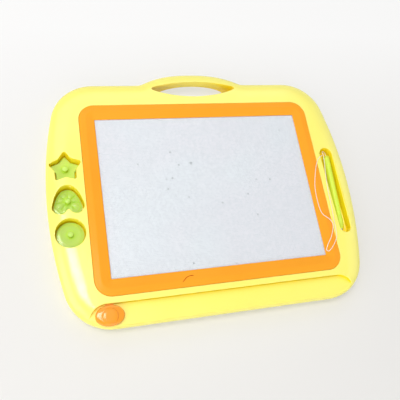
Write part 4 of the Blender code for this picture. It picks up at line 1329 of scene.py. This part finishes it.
def make_knob():
    """The eraser's oval knob: a hollow dome with a raised round button for a finger."""
    base = knob_low.z
    crest = knob_high.z
    shoulder = crest - knob_button_rise
    roof = crest - 2 * knob_wall
    rings = []
    for length_share, height_share in knob_inner_shares:
        rings.append(knob_ring(length_share, 0, base + (roof - base) * height_share))
    for length_share, button_share, height_share in smoothed(knob_outer_shares, knob_side_steps):
        rings.append(knob_ring(length_share, button_share, base + (shoulder - base) * height_share))
    for radius_share, rise_share in smoothed(knob_button_shares, knob_button_steps):
        plan = circle(knob_x, knob_y + knob_button_offset, knob_button_radius * radius_share)
        rings.append(at_height(plan, shoulder + knob_button_rise * rise_share))
    knob = solid(loft("knob_dome", rings))
    reach = (knob_half_width + overrun) / 2
    combine(knob, [box("neck", knob_x, knob_y + reach, knob_neck, reach, base - overrun, knob_neck_top)])
    finish_piece(knob, "eraser_grip", "orange_plastic", "eraser", "eraser_knob")


# Screw head section, from its face up: shares of the head's radius and height
screw_head_shares = [(0.72, 0.0), (0.86, 0.10), (0.96, 0.26), (1.0, 0.48), (1.0, 1.0)]


def make_screws():
    """Eight pan-head screws with cross recesses."""
    profile = [(screw_head_radius * radius_share, screw_low.z + screw_head_height * height_share)
               for radius_share, height_share in screw_head_shares]
    profile += [
        (screw_shank_radius, screw_low.z + screw_head_height),
        (screw_shank_radius, screw_high.z - screw_shank_radius),
        (screw_shank_radius / 3, screw_high.z),
    ]
    arm = screw_drive_radius
    blade = arm / 3
    drive_end = screw_low.z + screw_drive_depth
    for number, (x, y) in enumerate(screw_places, 1):
        screw = solid(lathe("screw", x, y, profile))
        combine(screw, [box("blade", x, y, half_x, half_y, screw_low.z - overrun, drive_end)
                        for half_x, half_y in ((arm, blade), (blade, arm))])
        finish_piece(screw, "screw_" + str(number), "screw_steel", "board", "case_screw_" + str(number))


# The string's route, in metres from the middle of the screen: out from the pen's cap, over the
# trough's left lip, down and round its loop on the bezel, back up, and down to its hole in the trough
string_route = [
    (0.1847, 0.0431, 0.0191),
    (0.1826, 0.0460, 0.0204),
    (0.1791, 0.0464, 0.0229),
    (0.1765, 0.0440, 0.0258),
    (0.1751, 0.0398, 0.0282),
    (0.1741, 0.0294, 0.0290),
    (0.1718, 0.0147, 0.0290),
    (0.1684, -0.0114, 0.0289),
    (0.1674, -0.0342, 0.0289),
    (0.1657, -0.0620, 0.0289),
    (0.1649, -0.0742, 0.0290),
    (0.1635, -0.0822, 0.0294),
    (0.1591, -0.0893, 0.0299),
    (0.1546, -0.0946, 0.0302),
    (0.1514, -0.0979, 0.0297),
    (0.1466, -0.1011, 0.0287),
    (0.1443, -0.0997, 0.0282),
    (0.1450, -0.0968, 0.0284),
    (0.1482, -0.0915, 0.0290),
    (0.1548, -0.0821, 0.0302),
    (0.1600, -0.0725, 0.0298),
    (0.1620, -0.0670, 0.0296),
    (0.1614, -0.0615, 0.0296),
    (0.1584, -0.0572, 0.0299),
    (0.1545, -0.0538, 0.0302),
    (0.1514, -0.0506, 0.0296),
    (0.1491, -0.0447, 0.0291),
    (0.1480, -0.0313, 0.0289),
    (0.1484, -0.0172, 0.0290),
    (0.1502, -0.0044, 0.0294),
    (0.1542, 0.0098, 0.0302),
    (0.1593, 0.0228, 0.0298),
    (0.1643, 0.0314, 0.0292),
    (0.1680, 0.0350, 0.0289),
    (0.1706, 0.0367, 0.0289),
    (0.1727, 0.0379, 0.0281),
    (0.1735, 0.0384, 0.0261),
    (0.1736, 0.0385, 0.0225),
]


def smooth_path(points, spacing):
    """A centripetal Catmull-Rom curve through the points, as places a set distance apart."""
    places = [Vector(point) for point in points]
    places = [2 * places[0] - places[1]] + places + [2 * places[-1] - places[-2]]
    path = [places[1]]
    last = places[1]
    run = 0
    for index in range(1, len(places) - 2):
        a, b, c, d = places[index - 1:index + 3]
        spans = [math.sqrt((after - before).length) for before, after in ((a, b), (b, c), (c, d))]
        leave = (b - a) / spans[0] - (c - a) / (spans[0] + spans[1]) + (c - b) / spans[1]
        arrive = (c - b) / spans[1] - (d - b) / (spans[1] + spans[2]) + (d - c) / spans[2]
        for step in range(1, path_steps + 1):
            t = step / path_steps
            from_b = (1 + 2 * t) * (1 - t) ** 2 * b + t * (1 - t) ** 2 * spans[1] * leave
            from_c = t ** 2 * (3 - 2 * t) * c + t ** 2 * (t - 1) * spans[1] * arrive
            place = from_b + from_c
            run += (place - last).length
            last = place
            if run >= spacing:
                path.append(place)
                run = 0
    path.append(last)
    return path


def strand_piece(name, path):
    """A piece of string: strands laid round each other along a path, as one closed skin."""
    side = Vector((0, 0, 1)).cross(path[1] - path[0]).normalized()
    rings = []
    run = 0
    for index, place in enumerate(path):
        before, after = neighbours(path, index)
        along = (after - before).normalized()
        side = (side - along * side.dot(along)).normalized()
        other = along.cross(side)
        run += (place - before).length
        lay = 2 * math.pi * run / string_lay_length
        ring = []
        for step in range(string_sides):
            angle = 2 * math.pi * step / string_sides
            lobe = 0.5 + 0.5 * math.cos(string_strands * (angle - lay))
            reach = string_radius * (1 - string_groove_share * (1 - lobe))
            ring.append(place + side * reach * math.cos(angle) + other * reach * math.sin(angle))
        rings.append(ring)
    item = solid(loft(name, rings))
    item.data.materials.append(materials["string_fibre"])
    item.data.shade_smooth()
    return item


def make_string():
    """The pen's string in its photographed loops, and the knot that holds it under the trough."""
    cap_end = pen_frame @ Vector((0, pen_length / 2 + joint_gap, 0))
    knot_low, knot_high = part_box("string_knot")
    lift = Vector((0, middle_y, 0))
    route = [cap_end, *string_route, (*anchor_place, knot_high.z + joint_gap)]
    path = [place + lift for place in smooth_path(route, string_spacing)]
    string = strand_piece("pen_cord", path)
    knot_middle = (knot_low + knot_high) / 2
    knot_radius = (knot_high.x - knot_low.x) / 2
    # A trefoil knot, which runs twice round its middle while it rises and falls three times
    turns = []
    for step in range(knot_steps + 1):
        angle = 2 * math.pi * step / knot_steps
        reach = knot_radius * (knot_ring_share + knot_swell_share * math.cos(3 * angle))
        turns.append(knot_middle + Vector((reach * math.cos(2 * angle), reach * math.sin(2 * angle),
                                           knot_height_share * knot_radius * math.sin(3 * angle))))
    knot = strand_piece("cord_knot", turns)
    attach(knot, "board")
    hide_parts("string_knot")
    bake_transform(string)
    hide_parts("pen_string")


def make_camera():
    """The photograph's camera."""
    data = bpy.data.cameras.new("camera")
    data.lens = camera_lens
    data.sensor_width = sensor_width
    camera = bpy.data.objects.new("camera", data)
    bpy.context.scene.collection.objects.link(camera)
    forward = (Vector(camera_target) - Vector(camera_place)).normalized()
    rightward = forward.cross(Vector(camera_up)).normalized()
    upward = rightward.cross(forward)
    axes = Matrix((rightward, upward, -forward)).transposed().to_4x4()
    camera.matrix_world = Matrix.Translation(camera_place) @ axes
    bpy.context.scene.camera = camera


make_camera()
make_string()
make_front_shell()
make_back_shell()
make_bezel()
make_specks()
for stamp in stamps:
    make_stamp(stamp)
make_pen()
make_knob()
make_screws()

# The CAD nodes wear the finishes of their slots
for part in frame["record"]["subparts"]:
    node = frame["nodes"][part["node"]]
    node.data.materials.clear()
    node.data.materials.append(materials[part["material_slot"]])


def seen_share(tree):
    """One for a ray that shows a thing to the camera, straight or by gloss or glass, and else nought."""
    rays = add_node(tree, "LightPath").outputs
    seen = rays["Is Camera Ray"]
    for kind in ("Is Glossy Ray", "Is Transmission Ray"):
        seen = reckon(tree, "Math", "MAXIMUM", seen, rays[kind])
    return seen


# Floor, where it pales on the way back and outwards, and the light from all round
floor_half = 4
floor_top = -0.0002
floor_bottom = -0.02
floor_color = (0.82, 0.81, 0.79)
floor_pale_color = (0.84, 0.83, 0.82)
backdrop_color = (0.985, 0.985, 0.985)
sweep_start = -0.10
sweep_end = 0.26
paling_start = 0.35
paling_end = 0.75
far_start = 0.42
far_end = 0.95
ambient_color = (0.97, 0.98, 1.0)
ambient_strength = 0.22


def make_floor():
    """The floor. Seen by the camera, it pales to white behind the board, as a studio sweep does."""
    floor = solid(box("floor", 0, 0, floor_half, floor_half, floor_bottom, floor_top))
    tree, shader, place = new_material("floor")
    wire(tree, shader, {"Base Color": (*floor_color, 1.0), "Roughness": 0.9})
    along = add_node(tree, "SeparateXYZ", {0: place}).outputs["Y"]
    sweep = ranged(tree, along, 0.0, 1.0, sweep_start, sweep_end)
    reach = reckon(tree, "VectorMath", "LENGTH", place, output="Value")
    far = ranged(tree, reach, 0.0, 1.0, far_start, far_end)
    outer = reckon(tree, "Math", "MAXIMUM", sweep, far)
    pale = blended(tree, outer, floor_pale_color, backdrop_color)
    glow = add_node(tree, "Emission", {"Color": pale})
    paling = reckon(tree, "Math", "MAXIMUM", ranged(tree, sweep, paling_start, paling_end), far)
    share = reckon(tree, "Math", "MULTIPLY", seen_share(tree), paling)
    veil = add_node(tree, "MixShader", {"Fac": share, 1: shader.outputs[0], 2: glow.outputs[0]})
    wire(tree, tree.nodes["Material Output"], {"Surface": veil.outputs[0]})
    floor.data.materials.append(materials["floor"])


def make_world():
    """Soft light from all round, and a near-white backdrop where the camera sees past the floor."""
    world = bpy.data.worlds.new("world")
    world.use_nodes = True
    tree = world.node_tree
    ambient = tree.nodes["Background"]
    wire(tree, ambient, {"Color": (*ambient_color, 1.0), "Strength": ambient_strength})
    backdrop = add_node(tree, "Background", {"Color": (*backdrop_color, 1.0), "Strength": 1.0})
    mix = add_node(tree, "MixShader", {"Fac": seen_share(tree), 1: ambient.outputs[0],
                                       2: backdrop.outputs[0]})
    wire(tree, tree.nodes["World Output"], {"Surface": mix.outputs[0]})
    bpy.context.scene.world = world


# Large soft panels that face the board: place, width and height, power in watts, and colour
panels = {
    "key": ((-0.60, 0.18, 1.85), (0.52, 0.74), 14.0, (1.0, 0.985, 0.96)),
    "window": ((-0.45, 0.25, 1.90), (1.2, 1.4), 3.4, (1.0, 0.99, 0.97)),
    "front": ((-0.2, -1.85, 0.85), (3.6, 1.2), 22, (1.0, 0.99, 0.97)),
    "left": ((-1.5, -0.4, 0.8), (1.2, 1.2), 9, (1.0, 0.99, 0.97)),
    "side": ((1.5, 0.1, 0.9), (1.2, 1.2), 3, (1.0, 0.99, 0.97)),
    "back": ((-0.1, 1.2, 1.3), (2.4, 0.9), 8, (0.98, 0.99, 1.0)),
}


def make_panel(name, place, size, power, color):
    """A soft light that faces the middle of the board's back."""
    data = bpy.data.lights.new(name, "AREA")
    data.shape = "RECTANGLE"
    data.size, data.size_y = size
    data.energy = power
    data.color = color
    light = bpy.data.objects.new(name, data)
    bpy.context.scene.collection.objects.link(light)
    light.location = place
    light.rotation_euler = (-Vector(place)).to_track_quat("-Z", "Y").to_euler()


make_floor()
make_world()
for panel_name, panel in panels.items():
    make_panel(panel_name, *panel)

bpy.context.scene.view_settings.view_transform = "Standard"
